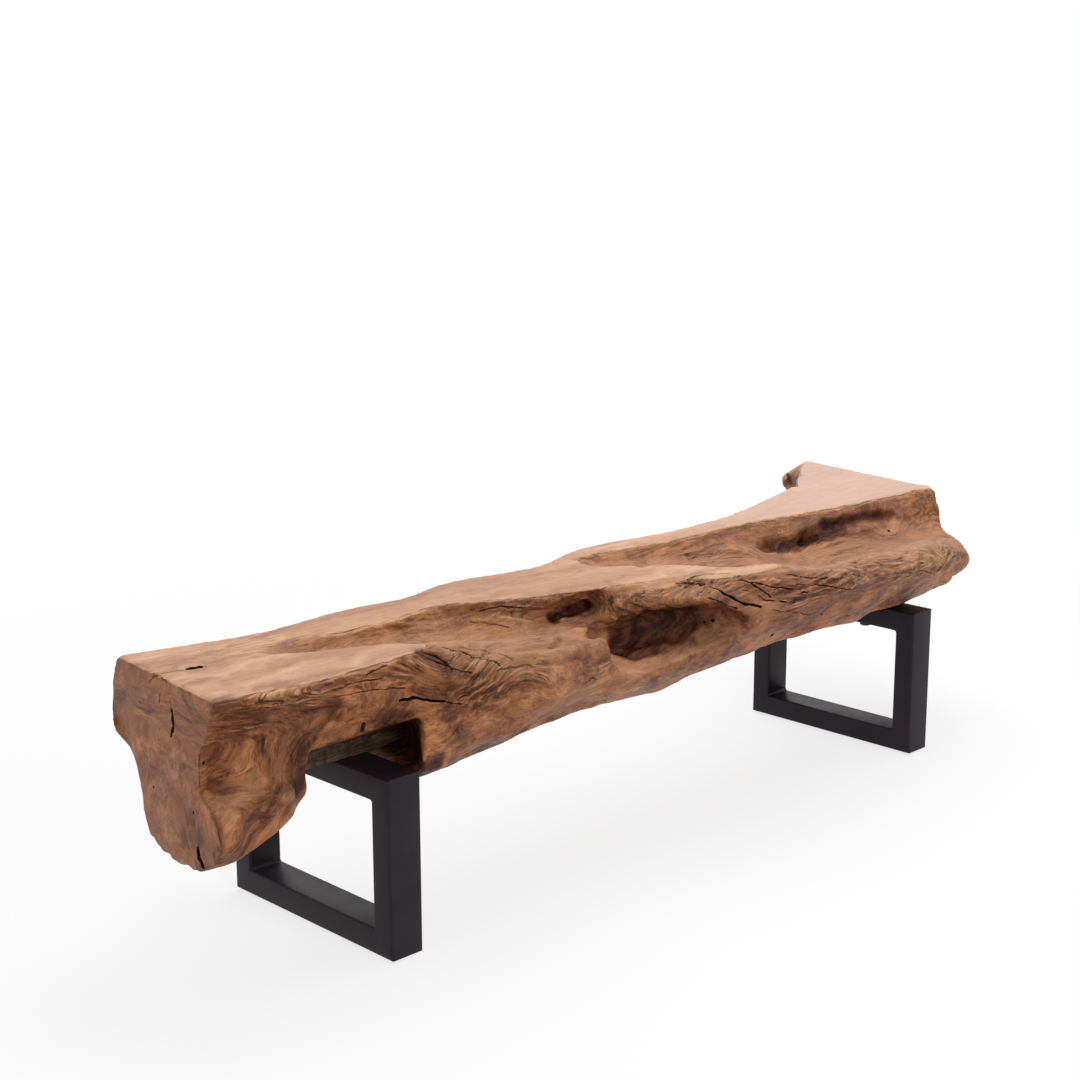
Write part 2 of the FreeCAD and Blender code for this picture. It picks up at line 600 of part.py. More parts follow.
def plane_saw():
    """A block over the seat's plane."""
    block = primitive("Box", "seat_saw", Length=f"{LOG_LENGTH} + 2 * overrun", Width="3 * log_width",
                      Height="log_height")
    place(block, f"{LOG_LEFT} - overrun", f"{FRAME_FRONT} - log_width", SEAT)
    return block


def end_saws():
    """Blocks past the two saw cuts, which turn with the skew of each cut."""
    saws = []
    cuts = (
        ("left_saw", LOG_LEFT, "180 - left_skew",
         "2 * log_width * sin(left_skew)", "2 * log_width * cos(left_skew)"),
        ("right_saw", f"{LOG_LEFT} + {LOG_LENGTH} - right_trim", "-right_skew",
         "-2 * log_width * sin(right_skew)", "-2 * log_width * cos(right_skew)"),
    )
    for name, edge, turn, aside, back in cuts:
        height = f"{SEAT} + overrun"
        block = primitive("Box", name, Length="log_overhang", Width="4 * log_width", Height=height)
        block.setExpression("Placement.Rotation.Angle", over_sheet(turn))
        place(block, f"{edge} + {aside}", f"{FRAME_FRONT} + {back}")
        saws.append(block)
    return saws


def housing(side):
    """The flat seat of the log on a top rail."""
    block = primitive("Box", f"{side}_housing", Length="tube_width + 2 * housing_clearance",
                      Width="frame_depth + 2 * overrun", Height="overrun")
    left = f"{FRAME_LEFT[side]} - housing_clearance"
    place(block, left, f"{FRAME_FRONT} - overrun", f"{RAIL_TOP} - overrun")
    return block


def underside_hollow():
    """The open hollow over the left top rail. Its flat roof takes the packer stick, and a ledge
    of the log closes it from below, right of the rail."""
    body = new_body("underside_hollow")
    mouth_right = "hollow_left + tube_width + hollow_right"
    whole = "stick_inset + stick_length + stick_clearance"
    front = f"overrun + {STICK_FRONT}"
    back = f"{front} + stick_width + hollow_behind"
    pad(body, polygon(body, "YZ_Plane", (
        ("0", "0"), (back, "0"), (back, "overrun + stick_thickness"),
        (f"{front} - stick_edge", "overrun + stick_thickness"),
        ("overrun", "overrun + hollow_rise"), ("0", "overrun + hollow_rise"),
    )), whole)
    pocket(body, polygon(body, "XY_Plane", (
        (mouth_right, "0"), (whole, "0"), (whole, front), (mouth_right, "overrun"),
    )))
    ledge_left, ledge_top = "hollow_left + tube_width + housing_clearance", "overrun - housing_clearance"
    pocket(body, polygon(body, "XZ_Plane", (
        (ledge_left, "0"), (whole, "0"), (whole, ledge_top), (ledge_left, ledge_top),
    )))
    place(body, f"{FRAME_LEFT['left']} - hollow_left", f"{FRAME_FRONT} - overrun", f"{RAIL_TOP} - overrun")
    return body


def pilot_hole(name, side, back):
    drill = primitive("Cylinder", name, Radius="screw_diameter / 2 + pilot_clearance",
                      Height="screw_length - washer_thickness - tube_height")
    place(drill, f"{FRAME_LEFT[side]} + tube_width / 2", back, RAIL_TOP)
    return drill


def log():
    """The sawn, hollowed and drilled log."""
    piece = log_blank()
    cutters = [
        plane_saw(), *end_saws(),
        scoop("trough", TROUGH_SHARES, TROUGH_SIDE_COUNT),
        scoop("cavity", CAVITY_SHARES, HOLLOW_SIDE_COUNT),
        scoop("pocket", POCKET_SHARES, HOLLOW_SIDE_COUNT),
        underside_hollow(), housing("left"), housing("right"),
    ]
    cutters += [pilot_hole(f"{end}_{side}_pilot", side, back) for side, end, back in SCREW_SPOTS]
    for cutter in cutters:
        cut = DOC.addObject("Part::Cut", f"less_{cutter.Name}")
        cut.Base = piece
        cut.Tool = cutter
        cut.Refine = False
        piece = cut
        DOC.recompute()
    return node(piece, "log")


fill_sheet()
beads, nuts = [], []
for side in FRAME_LEFT:
    frame(side)
    beads += weld_beads(side)
    nuts += glides(side)
group("weld_beads", beads)
group("rivet_nuts", nuts)
group("coach_screws", [coach_screw(f"{end}_{side}_screw", side, back) for side, end, back in SCREW_SPOTS])
group("washers", [washer(f"{end}_{side}_washer", side, back) for side, end, back in SCREW_SPOTS])
packer_stick()
log()
DOC.recompute()

for item in DOC.Objects:
    if "Invalid" in item.State or "Error" in item.State:
        raise RuntimeError(f"{item.Label} failed: {item.State}")
for item in NODES:
    if item.Shape.isNull() or not item.Shape.isValid():
        raise RuntimeError(f"{item.Label} has no valid shape")

os.makedirs("parts", exist_ok=True)
for item in NODES:
    item.Shape.exportStep(os.path.join("parts", f"{item.Label}.step"))
    print(f"{item.Label}: {len(item.Shape.Solids)} solid(s), {item.Shape.Volume:.0f} cubic mm")
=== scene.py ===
"""Rustic log bench: a live-edge log on two black box-section frames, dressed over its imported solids.

Lengths are in metres, colours in plain display values turned linear where they are used.
"""

import contextlib
import itertools
import math

import bmesh
import bpy
import numpy as np
from mathutils import Matrix, Vector
from mathutils.bvhtree import BVHTree


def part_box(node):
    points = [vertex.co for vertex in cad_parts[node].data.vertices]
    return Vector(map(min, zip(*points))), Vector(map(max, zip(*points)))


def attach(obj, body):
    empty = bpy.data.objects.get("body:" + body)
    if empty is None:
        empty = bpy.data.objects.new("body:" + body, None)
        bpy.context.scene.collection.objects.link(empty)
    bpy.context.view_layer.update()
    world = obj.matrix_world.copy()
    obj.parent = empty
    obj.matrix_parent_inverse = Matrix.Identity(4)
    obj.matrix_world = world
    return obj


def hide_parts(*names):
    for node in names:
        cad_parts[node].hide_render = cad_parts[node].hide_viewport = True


bl_info = {
    "name": "Rustic log bench",
    "version": (1, 0, 0),
    "blender": (4, 5, 0),
    "location": "3D View > Sidebar > Log bench",
    "description": "Builds the looks of a live-edge log bench round its packed solids",
    "category": "Object",
}

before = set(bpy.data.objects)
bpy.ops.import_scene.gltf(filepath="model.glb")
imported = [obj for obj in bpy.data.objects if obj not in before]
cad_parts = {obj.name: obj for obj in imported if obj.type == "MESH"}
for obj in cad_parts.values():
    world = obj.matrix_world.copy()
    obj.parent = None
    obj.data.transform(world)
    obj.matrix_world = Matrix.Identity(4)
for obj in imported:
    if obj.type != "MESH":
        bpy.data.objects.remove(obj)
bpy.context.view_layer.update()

MM = 0.001
PHOTO_SIDE = 1080  # the reference picture is this many pixels each way
SENSOR = 36.0
SEAT_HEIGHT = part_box("log")[1].z
RAIL_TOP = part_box("left_top_rail")[1].z
FRAME_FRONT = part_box("left_front_post")[0].y


# Numbers and noise

def smooth_step(low, high, values):
    """0 below low, 1 above high, and a smooth rise between."""
    share = np.clip((values - low) / (high - low), 0.0, 1.0)
    return share * share * (3 - 2 * share)


EDGE_DIRECTIONS = np.array([
    (1, 1, 0), (-1, 1, 0), (1, -1, 0), (-1, -1, 0), (1, 0, 1), (-1, 0, 1),
    (1, 0, -1), (-1, 0, -1), (0, 1, 1), (0, -1, 1), (0, 1, -1), (0, -1, -1),
], float)


def lattice_pick(cells, seed):
    """The same pseudo-random whole number each time for a lattice cell."""
    mixed = seed * 40503
    for column, factor in enumerate((73856093, 19349663, 83492791)):
        mixed = mixed ^ (cells[:, column] * factor)
    mixed = (mixed ^ (mixed >> 13)) * 1274126177
    return (mixed ^ (mixed >> 16)) & 0xFFFF


def noise(points, seed=0):
    """Smooth gradient noise, about -1 to 1, one wave for each unit."""
    cells = np.floor(points).astype(np.int64)
    inside = points - cells
    fade = inside ** 3 * (inside * (inside * 6 - 15) + 10)
    total = np.zeros(len(points))
    for corner in itertools.product((0, 1), repeat=3):
        step = np.array(corner)
        slopes = EDGE_DIRECTIONS[lattice_pick(cells + step, seed) % len(EDGE_DIRECTIONS)]
        weight = np.where(step == 1, fade, 1 - fade).prod(axis=1)
        total += weight * ((inside - step) * slopes).sum(axis=1)
    return total


def layered_noise(points, layers, seed=0):
    total, size, weight = np.zeros(len(points)), 1.0, 1.0
    for layer in range(layers):
        total += weight * noise(points * size, seed + layer)
        size, weight = size * 2, weight / 2
    return total


def noise_vectors(points, *seeds):
    """A noise for each seed, side by side."""
    return np.stack([noise(points, seed) for seed in seeds], axis=1)


def ridges(points, seed=0):
    """1 on narrow crests and 0 in the wide hollows between them."""
    return 1 - np.clip(np.abs(noise(points, seed)) * 2.4, 0, 1)


# Camera of the photograph

CAMERA_PLACE = Vector((-2.287, -2.197, 1.181))
CAMERA_YAW, CAMERA_PITCH, CAMERA_ROLL = (math.radians(turn) for turn in (44.48, 12.67, -0.13))
CAMERA_LENS = 62.1
LENS_PIXELS = CAMERA_LENS / SENSOR * PHOTO_SIDE


def camera_turn():
    """The camera's axes as a rotation matrix."""
    ahead = Vector((
        math.sin(CAMERA_YAW) * math.cos(CAMERA_PITCH),
        math.cos(CAMERA_YAW) * math.cos(CAMERA_PITCH),
        -math.sin(CAMERA_PITCH),
    ))
    upright = ahead.to_track_quat("-Z", "Y").to_matrix()
    return upright @ Matrix.Rotation(CAMERA_ROLL, 3, "Z")


def sight_line(across, down):
    """Direction in space of a pixel of the photograph."""
    half = PHOTO_SIDE / 2
    way = Vector(((across - half) / LENS_PIXELS, (half - down) / LENS_PIXELS, -1))
    return (camera_turn() @ way).normalized()


# Mesh tools

def new_piece(name, mesh):
    piece = bpy.data.objects.new(name, mesh)
    bpy.context.scene.collection.objects.link(piece)
    return piece


def applied(piece):
    """Keep a piece's mesh as its modifiers leave it."""
    bpy.context.view_layer.update()
    graph = bpy.context.evaluated_depsgraph_get()
    mesh = bpy.data.meshes.new_from_object(piece.evaluated_get(graph))
    mesh.name = piece.name
    piece.modifiers.clear()
    piece.data = mesh
    return piece


@contextlib.contextmanager
def editing(source, target=None):
    """Open a mesh for editing, and write it back, or to another mesh, at the end."""
    shape = bmesh.new()
    shape.from_mesh(source)
    yield shape
    shape.to_mesh(target or source)
    shape.free()


def welded_copy(node, name):
    """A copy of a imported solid's mesh with its split corners joined again."""
    mesh = bpy.data.meshes.new(name)
    with editing(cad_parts[node].data, mesh) as shape:
        bmesh.ops.remove_doubles(shape, verts=shape.verts, dist=1e-6)
    return new_piece(name, mesh)


def joined_flats(piece):
    """Join triangles that lie in one plane into whole faces."""
    with editing(piece.data) as shape:
        bmesh.ops.dissolve_limit(
            shape, angle_limit=math.radians(0.5), verts=shape.verts, edges=shape.edges)
    return piece


def rounded(piece, width, segments=3, lengthways=False):
    """Round the edges of a piece, or those along it only, and shade it smooth between them."""
    bevel = piece.modifiers.new("edges", "BEVEL")
    bevel.width = width
    bevel.segments = segments
    bevel.limit_method = "ANGLE"
    bevel.angle_limit = math.radians(25)
    if lengthways:
        axis = max(range(3), key=lambda way: piece.dimensions[way])
        with editing(piece.data) as shape:
            weight = shape.edges.layers.float.new("bevel_weight_edge")
            for edge in shape.edges:
                run = (edge.verts[1].co - edge.verts[0].co).normalized()
                corner = edge.calc_face_angle(0) > bevel.angle_limit
                edge[weight] = float(corner and abs(run[axis]) > 0.99)
        bevel.limit_method = "WEIGHT"
    applied(piece)
    shade(piece)
    return piece


def shade(piece, angle=35):
    piece.data.shade_smooth()
    piece.data.set_sharp_from_angle(angle=math.radians(angle))


def remeshed(piece, size):
    """Cover a piece with an even mesh."""
    cover = piece.modifiers.new("cover", "REMESH")
    cover.mode = "VOXEL"
    cover.voxel_size = size
    return applied(piece)


def read_points(mesh):
    flat = np.zeros(len(mesh.vertices) * 3, np.float32)
    mesh.vertices.foreach_get("co", flat)
    return flat.reshape(-1, 3).astype(float)


def write_points(mesh, points):
    mesh.vertices.foreach_set("co", points.astype(np.float32).ravel())
    mesh.update()


def read_normals(mesh):
    flat = np.zeros(len(mesh.vertices) * 3, np.float32)
    mesh.vertex_normals.foreach_get("vector", flat)
    return flat.reshape(-1, 3).astype(float)


def read_edges(mesh):
    flat = np.zeros(len(mesh.edges) * 2, np.int32)
    mesh.edges.foreach_get("vertices", flat)
    return flat.reshape(-1, 2)


def neighbour_mean(values, edges, counts):
    """Each vertex's mean over the vertices next to it."""
    columns = values.reshape(len(values), -1)
    means = np.empty_like(columns)
    first, second = edges[:, 0], edges[:, 1]
    for column in range(columns.shape[1]):
        line = np.ascontiguousarray(columns[:, column])
        total = np.bincount(first, line[second], len(line))
        total += np.bincount(second, line[first], len(line))
        means[:, column] = total / counts
    return means.reshape(values.shape)


def relaxed(values, edges, rounds, step, back=0.0, free=None):
    """Smooth values over a mesh. With a step back after each step, large forms keep their size."""
    counts = np.maximum(np.bincount(edges.ravel(), minlength=len(values)), 1)
    share = 1.0 if free is None else free[:, None]
    for _ in range(rounds):
        values = values + share * step * (neighbour_mean(values, edges, counts) - values)
        if back:
            values = values - share * back * (neighbour_mean(values, edges, counts) - values)
    return values


def keep_value(mesh, name, values):
    """Store a number for each vertex, for the material to read."""
    layer = mesh.attributes.new(name, "FLOAT", "POINT")
    layer.data.foreach_set("value", values.astype(np.float32))


def keep_vector(mesh, name, values):
    layer = mesh.attributes.new(name, "FLOAT_VECTOR", "POINT")
    layer.data.foreach_set("vector", values.astype(np.float32).ravel())


# Material tools

def linear(colour):
    """Display colour, 0 to 1 each, as the shader wants it."""
    return tuple(
        part / 12.92 if part <= 0.04045 else ((part + 0.055) / 1.055) ** 2.4 for part in colour)


class Nodes:
    """A tree of nodes being built, for a material or for the world."""

    def __init__(self, owner, output):
        owner.use_nodes = True
        self.tree = owner.node_tree
        self.tree.nodes.clear()
        self.output = self.add(output)

    def add(self, kind, settings=None, **inputs):
        item = self.tree.nodes.new(f"ShaderNode{kind}")
        for name, setting in (settings or {}).items():
            setattr(item, name, setting)
        for name, given in inputs.items():
            self.feed(item.inputs[name.replace("_", " ")], given)
        return item

    def feed(self, socket, given):
        if isinstance(given, bpy.types.NodeSocket):
            self.tree.links.new(given, socket)
        elif socket.type == "RGBA" and len(given) == 3:
            socket.default_value = (*linear(given), 1)
        else:
            socket.default_value = given

    def show(self, shader):
        self.tree.links.new(shader.outputs[0], self.output.inputs["Surface"])

    def maths(self, operation, first, second=0.0, clamp=False):
        item = self.add("Math", {"operation": operation, "use_clamp": clamp})
        self.feed(item.inputs[0], first)
        self.feed(item.inputs[1], second)
        return item.outputs[0]

    def plus(self, first, second):
        return self.maths("ADD", first, second)

    def less(self, first, second, clamp=False):
        return self.maths("SUBTRACT", first, second, clamp)

    def times(self, first, second, clamp=False):
        return self.maths("MULTIPLY", first, second, clamp)

    def level(self, given, low, high, to_low=0.0, to_high=1.0):
        """A smooth rise from one number to another as the given one passes from low to high."""
        item = self.add("MapRange", {"interpolation_type": "SMOOTHSTEP"})
        for socket, number in zip(item.inputs[:5], (given, low, high, to_low, to_high)):
            self.feed(socket, number)
        return item.outputs[0]

    def looked_at(self):
        """1 on rays that show a thing to the viewer, also by a reflection or through glass."""
        path = self.add("LightPath").outputs
        seen = self.maths("MAXIMUM", path["Is Camera Ray"], path["Is Glossy Ray"])
        return self.maths("MAXIMUM", seen, path["Is Transmission Ray"])


class Recipe(Nodes):
    """A material being built from nodes."""

    def __init__(self, name):
        self.material = bpy.data.materials.new(name)
        super().__init__(self.material, "OutputMaterial")
        self.place = self.add("TexCoord").outputs["Object"]

    def mixed(self, share, first, second, how="MIX"):
        item = self.add("Mix", {"data_type": "RGBA", "blend_type": how, "clamp_factor": True})
        self.feed(item.inputs[0], share)
        self.feed(item.inputs[6], first)
        self.feed(item.inputs[7], second)
        return item.outputs[2]

    def stretched(self, scale, warp, amount, where):
        """Coordinates scaled by axis and bent by a noise."""
        where = where or self.place
        if warp is not None:
            centred = self.add("VectorMath", {"operation": "SUBTRACT"})
            self.feed(centred.inputs[0], warp)
            self.feed(centred.inputs[1], (0.5, 0.5, 0.5))
            bent = self.add("VectorMath", {"operation": "MULTIPLY_ADD"})
            self.feed(bent.inputs[0], centred.outputs[0])
            self.feed(bent.inputs[1], (amount, amount, amount))
            self.feed(bent.inputs[2], where)
            where = bent.outputs[0]
        item = self.add("Mapping")
        self.feed(item.inputs["Vector"], where)
        item.inputs["Scale"].default_value = scale
        return item.outputs[0]

    def clouds(self, where, scale, detail, roughness=0.5, distortion=0.0, output="Fac"):
        item = self.add("TexNoise", Vector=where, Scale=scale, Detail=detail, Roughness=roughness,
                        Distortion=distortion)
        return item.outputs[output]

    def figured(self, scale, warp, amount, where, detail, roughness=0.5, distortion=0.0):
        """Clouds in coordinates that are scaled by axis and bent by a noise."""
        return self.clouds(self.stretched(scale, warp, amount, where), 1.0, detail, roughness, distortion)

    def banded(self, given, *stops):
        """A colour ramp through (place, colour) stops."""
        item = self.add("ValToRGB", Fac=given)
        ramp = item.color_ramp
        while len(ramp.elements) < len(stops):
            ramp.elements.new(0.5)
        for element, (spot, colour) in zip(ramp.elements, stops):
            element.position = spot
            element.color = (*linear(colour), 1)
        return item.outputs["Color"]

    def stored(self, name):
        return self.add("Attribute", {"attribute_name": name}).outputs["Fac"]

    def lines_in(self, given, inner, outer):
        """1 on the thin lines where clouds pass through their middle value."""
        return self.level(self.maths("ABSOLUTE", self.less(given, 0.5)), inner, outer, 1.0, 0.0)

    def bump(self, height, distance, strength=1.0, below=None):
        item = self.add("Bump", Height=height, Distance=distance, Strength=strength)
        if below is not None:
            self.feed(item.inputs["Normal"], below)
        return item.outputs[0]

    def finish(self, **inputs):
        self.show(self.add("BsdfPrincipled", **inputs))
        return self.material


def grey(level):
    return (level, level, level)


WHITE = grey(1.0)

# Log

# Saw cuts: where each plane meets the line of the frames' front, and its skew
LEFT_CUT = (-0.980, math.radians(6.2))
RIGHT_CUT = (0.874, math.radians(9.9))
AT_PLANE = 4 * MM  # how near to a plane a point counts as lying on it
FACING = 0.8  # share of a normal along an axis from which a face counts as looking that way
RAIL_MIDDLES = [sum(corner.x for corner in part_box(f"{side}_top_rail")) / 2 for side in ("left", "right")]
RAIL_REACH = 55 * MM
# A hollow's colour is painted shade, full from DEEP down.
DEEP = 40 * MM  # from here down a hollow is coloured as deep
# Box of the open hollow over the left frame
HOLLOW_LOW = (-0.735, FRAME_FRONT - AT_PLANE, 0.288)
HOLLOW_HIGH = (-0.555, -0.12, 0.372)
SPREAD = 1.3 * MM  # reach of a pull or a soft place for each millimetre of its size
CRACK_JITTER, FOLD_DRIFT, STAIN_SHADE_DRIFT = 2.2 * MM, 3 * MM, 5 * MM  # how far their lines wander

# Places on the log are given by pixels of the photograph and sizes in millimetres.
# Pulls: from a pixel, to a pixel, and the radius of what moves along
PULLS = (
    ((308, 776), (301, 774), 34), ((309, 790), (297, 780), 34), ((293, 812), (284, 802), 34),
    ((273, 828), (265, 817), 66), ((266, 836), (258, 827), 36), ((314, 764), (304, 750), 24),
    ((186, 858), (188, 850), 36), ((170, 852), (173, 847), 26), ((160, 842), (163, 838), 30),
    ((204, 862), (204, 855), 30), ((121, 713), (111, 713), 28), ((123, 729), (118, 731), 26),
    ((552, 712), (552, 704), 62), ((945, 574), (951, 579), 30), ((962, 552), (967, 554), 22),
    ((928, 506), (936, 505), 46), ((920, 489), (930, 490), 28), ((787, 483), (786, 474), 20),
)
# Places worn soft, without an edge: the line and its half width
SOFT = (
    (((238, 648), (262, 646), (300, 642)), 42), (((300, 650), (360, 646), (430, 642)), 12),
    (((420, 643), (470, 640), (512, 632), (540, 630)), 24), (((725, 568), (760, 564), (800, 560)), 30),
    (((640, 560), (600, 562)), 14), (((690, 548), (780, 535), (860, 515), (920, 505)), 14),
    (((610, 590), (680, 580)), 12), (((560, 668), (575, 662), (590, 652)), 26),
)
# Cracks: the line, its half width and its depth
CRACKS = (
    (((162, 673.5), (178, 670.6), (192, 668.2), (206, 666.2)), 0.8, 6),
    (((189, 668.8), (200, 667)), 4.4, 14),
    (((171.3, 709), (172.6, 716), (172.6, 725), (171, 735)), 1.8, 12),
    (((172.4, 717), (172.9, 723), (172.4, 729)), 3.4, 16),
    (((163, 677), (168.5, 689), (170, 698.5), (171.3, 713)), 0.5, 4),
    (((160, 693.5), (158.8, 702)), 0.8, 5), (((148.6, 682.7), (156, 675.6)), 0.5, 4),
    (((198, 851), (199, 858), (203, 866)), 4.2, 14),
    (((401, 701.2), (414.4, 698), (424.5, 699.6), (438, 701), (446.5, 701.2)), 1.3, 9),
    (((446, 702.2), (461.6, 703.8)), 0.8, 5), (((463, 697), (472, 695)), 0.6, 4),
    (((330, 696.2), (347, 693.6), (364, 691.4), (385, 689.6), (406, 687.8)), 0.6, 4),
    (((345, 685), (362, 681), (380, 678)), 0.6, 4), (((366, 676), (374, 670), (386, 666)), 0.6, 4),
    (((690, 578), (706, 574.2), (724, 573.6), (742, 580), (756, 588), (768, 597)), 1.2, 9),
    (((698, 586), (714, 589), (728, 596), (742, 604), (758, 607)), 1.2, 8),
    (((708, 598), (720, 602), (736, 607)), 0.8, 6),
    (((750, 583), (768, 587), (786, 588), (806, 592)), 0.9, 6),
    (((676, 583), (690, 584.5), (704, 585)), 0.7, 5), (((788, 574), (806, 577), (828, 578)), 0.7, 5),
    (((742, 590), (764, 600), (786, 602)), 0.8, 6), (((800, 584), (828, 586), (850, 588)), 0.7, 5),
    (((772, 610), (800, 612), (824, 616)), 0.6, 4),
    (((424, 650), (436, 655), (446, 664), (452, 670)), 1.0, 7),
    (((430, 658), (446, 666), (470, 674)), 0.9, 6), (((442, 648), (470, 656), (498, 668)), 0.8, 6),
    (((456, 648), (486, 652), (510, 662)), 0.6, 4), (((494, 672), (510, 668), (530, 666)), 0.6, 4),
    (((934, 579),), 2.0, 6), (((363, 724), (362.5, 731)), 2.2, 6),
    (((888, 552), (902, 560), (922, 563)), 0.7, 4), (((868, 556), (880, 566), (902, 570)), 0.7, 4),
    (((908, 572), (922, 570), (934, 574)), 0.6, 4), (((480, 612), (500, 606), (522, 608)), 0.7, 5),
    (((470, 622), (492, 624), (514, 628)), 0.6, 4), (((584, 684), (592, 678), (598, 680)), 0.5, 3),
    (((820, 629),), 0.7, 4), (((440, 748), (448, 738), (458, 730)), 0.6, 4),
)
# Pits: the pixel, the radius and the depth
PITS = (
    ((193.3, 812.6), 1.6, 7), ((153.4, 787), 1.4, 5), ((204, 763.5), 2.2, 8), ((713, 620.5), 3.0, 9),
    ((704.5, 622), 1.8, 6), ((772, 635), 3.0, 7), ((888, 532.7), 2.8, 7), ((352, 760), 1.6, 4),
    ((140, 702), 1.0, 3), ((626, 651), 1.4, 4), ((640, 646), 1.2, 4),
)
# Dents and, with a depth below 0, swellings: the line, its half width and its depth
FOLDS = (
    (((618, 648), (634, 656), (654, 650)), 18, 5), (((606, 597), (618, 603)), 15, -7),
    (((614, 616), (612, 634)), 12, -3), (((786, 481), (793, 486)), 18, 11),
    (((588, 668), (606, 672)), 16, -4), (((764, 547), (790, 544), (816, 538)), 24, 10),
    (((806, 538), (830, 527), (858, 521), (888, 516)), 20, 11),
    (((604, 596), (606, 612), (604, 630), (600, 648), (602, 664)), 24, -3),
    (((470, 668), (500, 660), (540, 656), (580, 650)), 16, -8),
    (((420, 690), (470, 694), (520, 690), (560, 684)), 18, 7),
    (((640, 592), (700, 590), (760, 604), (820, 606)), 18, -4),
    (((240, 820), (262, 806), (280, 790)), 14, -5), (((236, 772), (252, 768), (262, 780)), 14, -6),
    (((211, 750), (216, 762)), 20, 9), (((214, 784), (222, 788)), 15, 6),
    (((238, 792), (246, 796)), 13, -5), (((224, 820), (232, 816)), 14, -5),
    (((283, 800), (292, 794)), 14, -4), (((262, 812), (272, 800)), 9, 4), (((236, 806), (250, 808)), 9, 3),
    (((436, 642), (470, 642), (505, 638), (530, 634)), 24, 4),
    (((540, 640), (570, 636), (584, 634)), 20, 4), (((616, 648), (640, 636), (670, 632)), 30, 14),
    (((640, 620), (690, 612), (720, 612)), 22, 6), (((410, 660), (430, 670), (460, 684)), 14, -6),
    (((225, 715), (262, 712), (300, 706)), 16, 4), (((310, 712), (350, 712)), 24, 4),
    (((480, 704), (520, 716)), 22, 4), (((500, 690), (545, 694)), 14, -4),
    (((830, 560), (870, 560), (910, 552)), 16, 4), (((905, 520), (925, 530)), 18, 7),
    (((880, 540), (905, 540)), 14, -4), (((690, 560), (740, 552)), 16, 5),
    (((640, 566), (680, 560)), 14, 4), (((598, 562), (640, 556)), 12, 3),
    (((560, 640), (556, 648), (540, 652)), 9, 4), (((612, 600), (622, 592), (640, 588)), 10, 4),
    (((551, 619), (562, 615)), 9, 11), (((566, 612), (585, 606)), 13, 16), (((556, 608), (576, 601)), 8, 6),
    (((470, 610), (500, 602), (530, 600)), 14, 5), (((460, 622), (500, 618), (530, 622)), 10, -4),
    (((540, 664), (560, 662), (580, 656)), 9, 4),
)
# Frayed places: the line, its half width and how much deeper the fibres are there
FRAYS = (
    (((215, 708), (262, 702), (310, 697)), 34, 1.5), (((222, 735), (250, 728), (290, 722)), 26, 0.8),
    (((320, 690), (360, 682), (400, 676)), 26, 1.1), (((405, 664), (440, 658), (480, 664)), 42, 1.2),
    (((470, 690), (540, 676), (590, 660)), 34, 0.7), (((680, 580), (740, 586), (800, 590)), 34, 1.8),
    (((820, 582), (900, 566), (950, 556)), 46, 1.6), (((690, 556), (760, 550), (840, 534)), 40, 0.9),
    (((600, 660), (660, 664)), 24, 0.4), (((610, 596), (640, 590)), 20, 0.7),
    (((400, 630), (480, 618), (540, 606)), 26, 0.6),
)
# Tone: the line, its half width and how much darker, or with a share below 0 paler, it is. Besides real
# stains, the dark marks paint the shade in the hollows, under the slab and beside the stick, and pale marks
# on the lobe paint highlights.
STAINS_SHADE_AND_HIGHLIGHTS = (
    (((413, 722), (416, 735), (418, 748), (419, 760)), 34, 1.4), (((404, 716), (412, 716)), 8, 0.7),
    (((628, 640), (652, 632), (684, 622)), 58, 0.36),
    (((213, 818), (219, 830), (222, 845), (214, 854)), 6, 0.45),
    (((330, 640), (400, 630), (480, 620), (540, 612)), 40, -0.30),
    (((640, 620), (662, 613), (682, 609)), 16, 0.4), (((700, 616), (728, 612), (748, 616)), 24, 0.12),
    (((392, 724), (402, 744), (412, 764)), 34, 0.9),
    (((330, 744), (360, 736), (390, 729), (418, 719)), 8, 1.1), (((392, 748), (412, 752)), 18, 0.45),
    (((620, 640), (634, 652), (652, 646)), 30, 0.50), (((640, 618), (670, 616)), 22, 0.5),
    (((335, 705), (336, 717)), 16, 0.55), (((216, 706), (232, 716), (262, 716)), 26, 0.45),
    (((225, 745), (300, 735)), 34, 0.12), (((424, 655), (438, 662), (450, 680)), 22, 0.55),
    (((552, 617), (572, 611), (590, 606)), 15, 1.0), (((535, 624), (552, 618)), 16, 0.45),
    (((450, 716), (500, 712), (560, 700)), 26, 0.20), (((205, 750), (214, 762)), 20, 0.35),
    (((212, 784), (222, 789)), 14, 0.40), (((628, 634), (650, 630), (680, 624)), 44, 0.50),
    (((690, 616), (730, 612), (750, 622)), 30, 0.35), (((182, 840), (198, 838)), 22, 0.35),
    (((480, 662), (520, 668), (560, 660)), 22, -0.35), (((240, 800), (250, 792)), 14, -0.30),
    (((224, 822), (232, 816)), 12, -0.35), (((284, 800), (292, 794)), 9, -0.35),
    (((700, 575), (760, 590), (830, 590)), 22, 0.25), (((604, 600), (603, 640)), 12, -0.45),
    (((575, 560), (600, 556)), 9, 0.30), (((772, 547), (796, 541), (820, 534), (842, 527)), 20, 0.95),
    (((826, 521), (850, 518), (892, 514)), 13, 0.80), (((786, 478), (794, 482)), 26, 0.65),
    (((900, 560), (945, 560)), 34, -0.35), (((240, 697), (270, 694), (296, 690)), 6, -0.8),
    (((560, 694), (600, 690)), 26, -0.25), (((130, 700), (128, 740)), 30, -0.12),
    (((150, 800), (165, 830)), 30, -0.12), (((188, 722), (204, 728)), 24, 0.15),
    (((640, 590), (668, 586)), 20, -0.25), (((700, 664),), 30, 0.20), (((600, 680), (640, 676)), 26, -0.20),
    (((238, 648), (290, 644), (330, 640)), 14, 0.06), (((470, 612), (500, 604), (530, 602)), 12, 0.35),
    (((490, 600), (520, 594)), 10, -0.25),
)
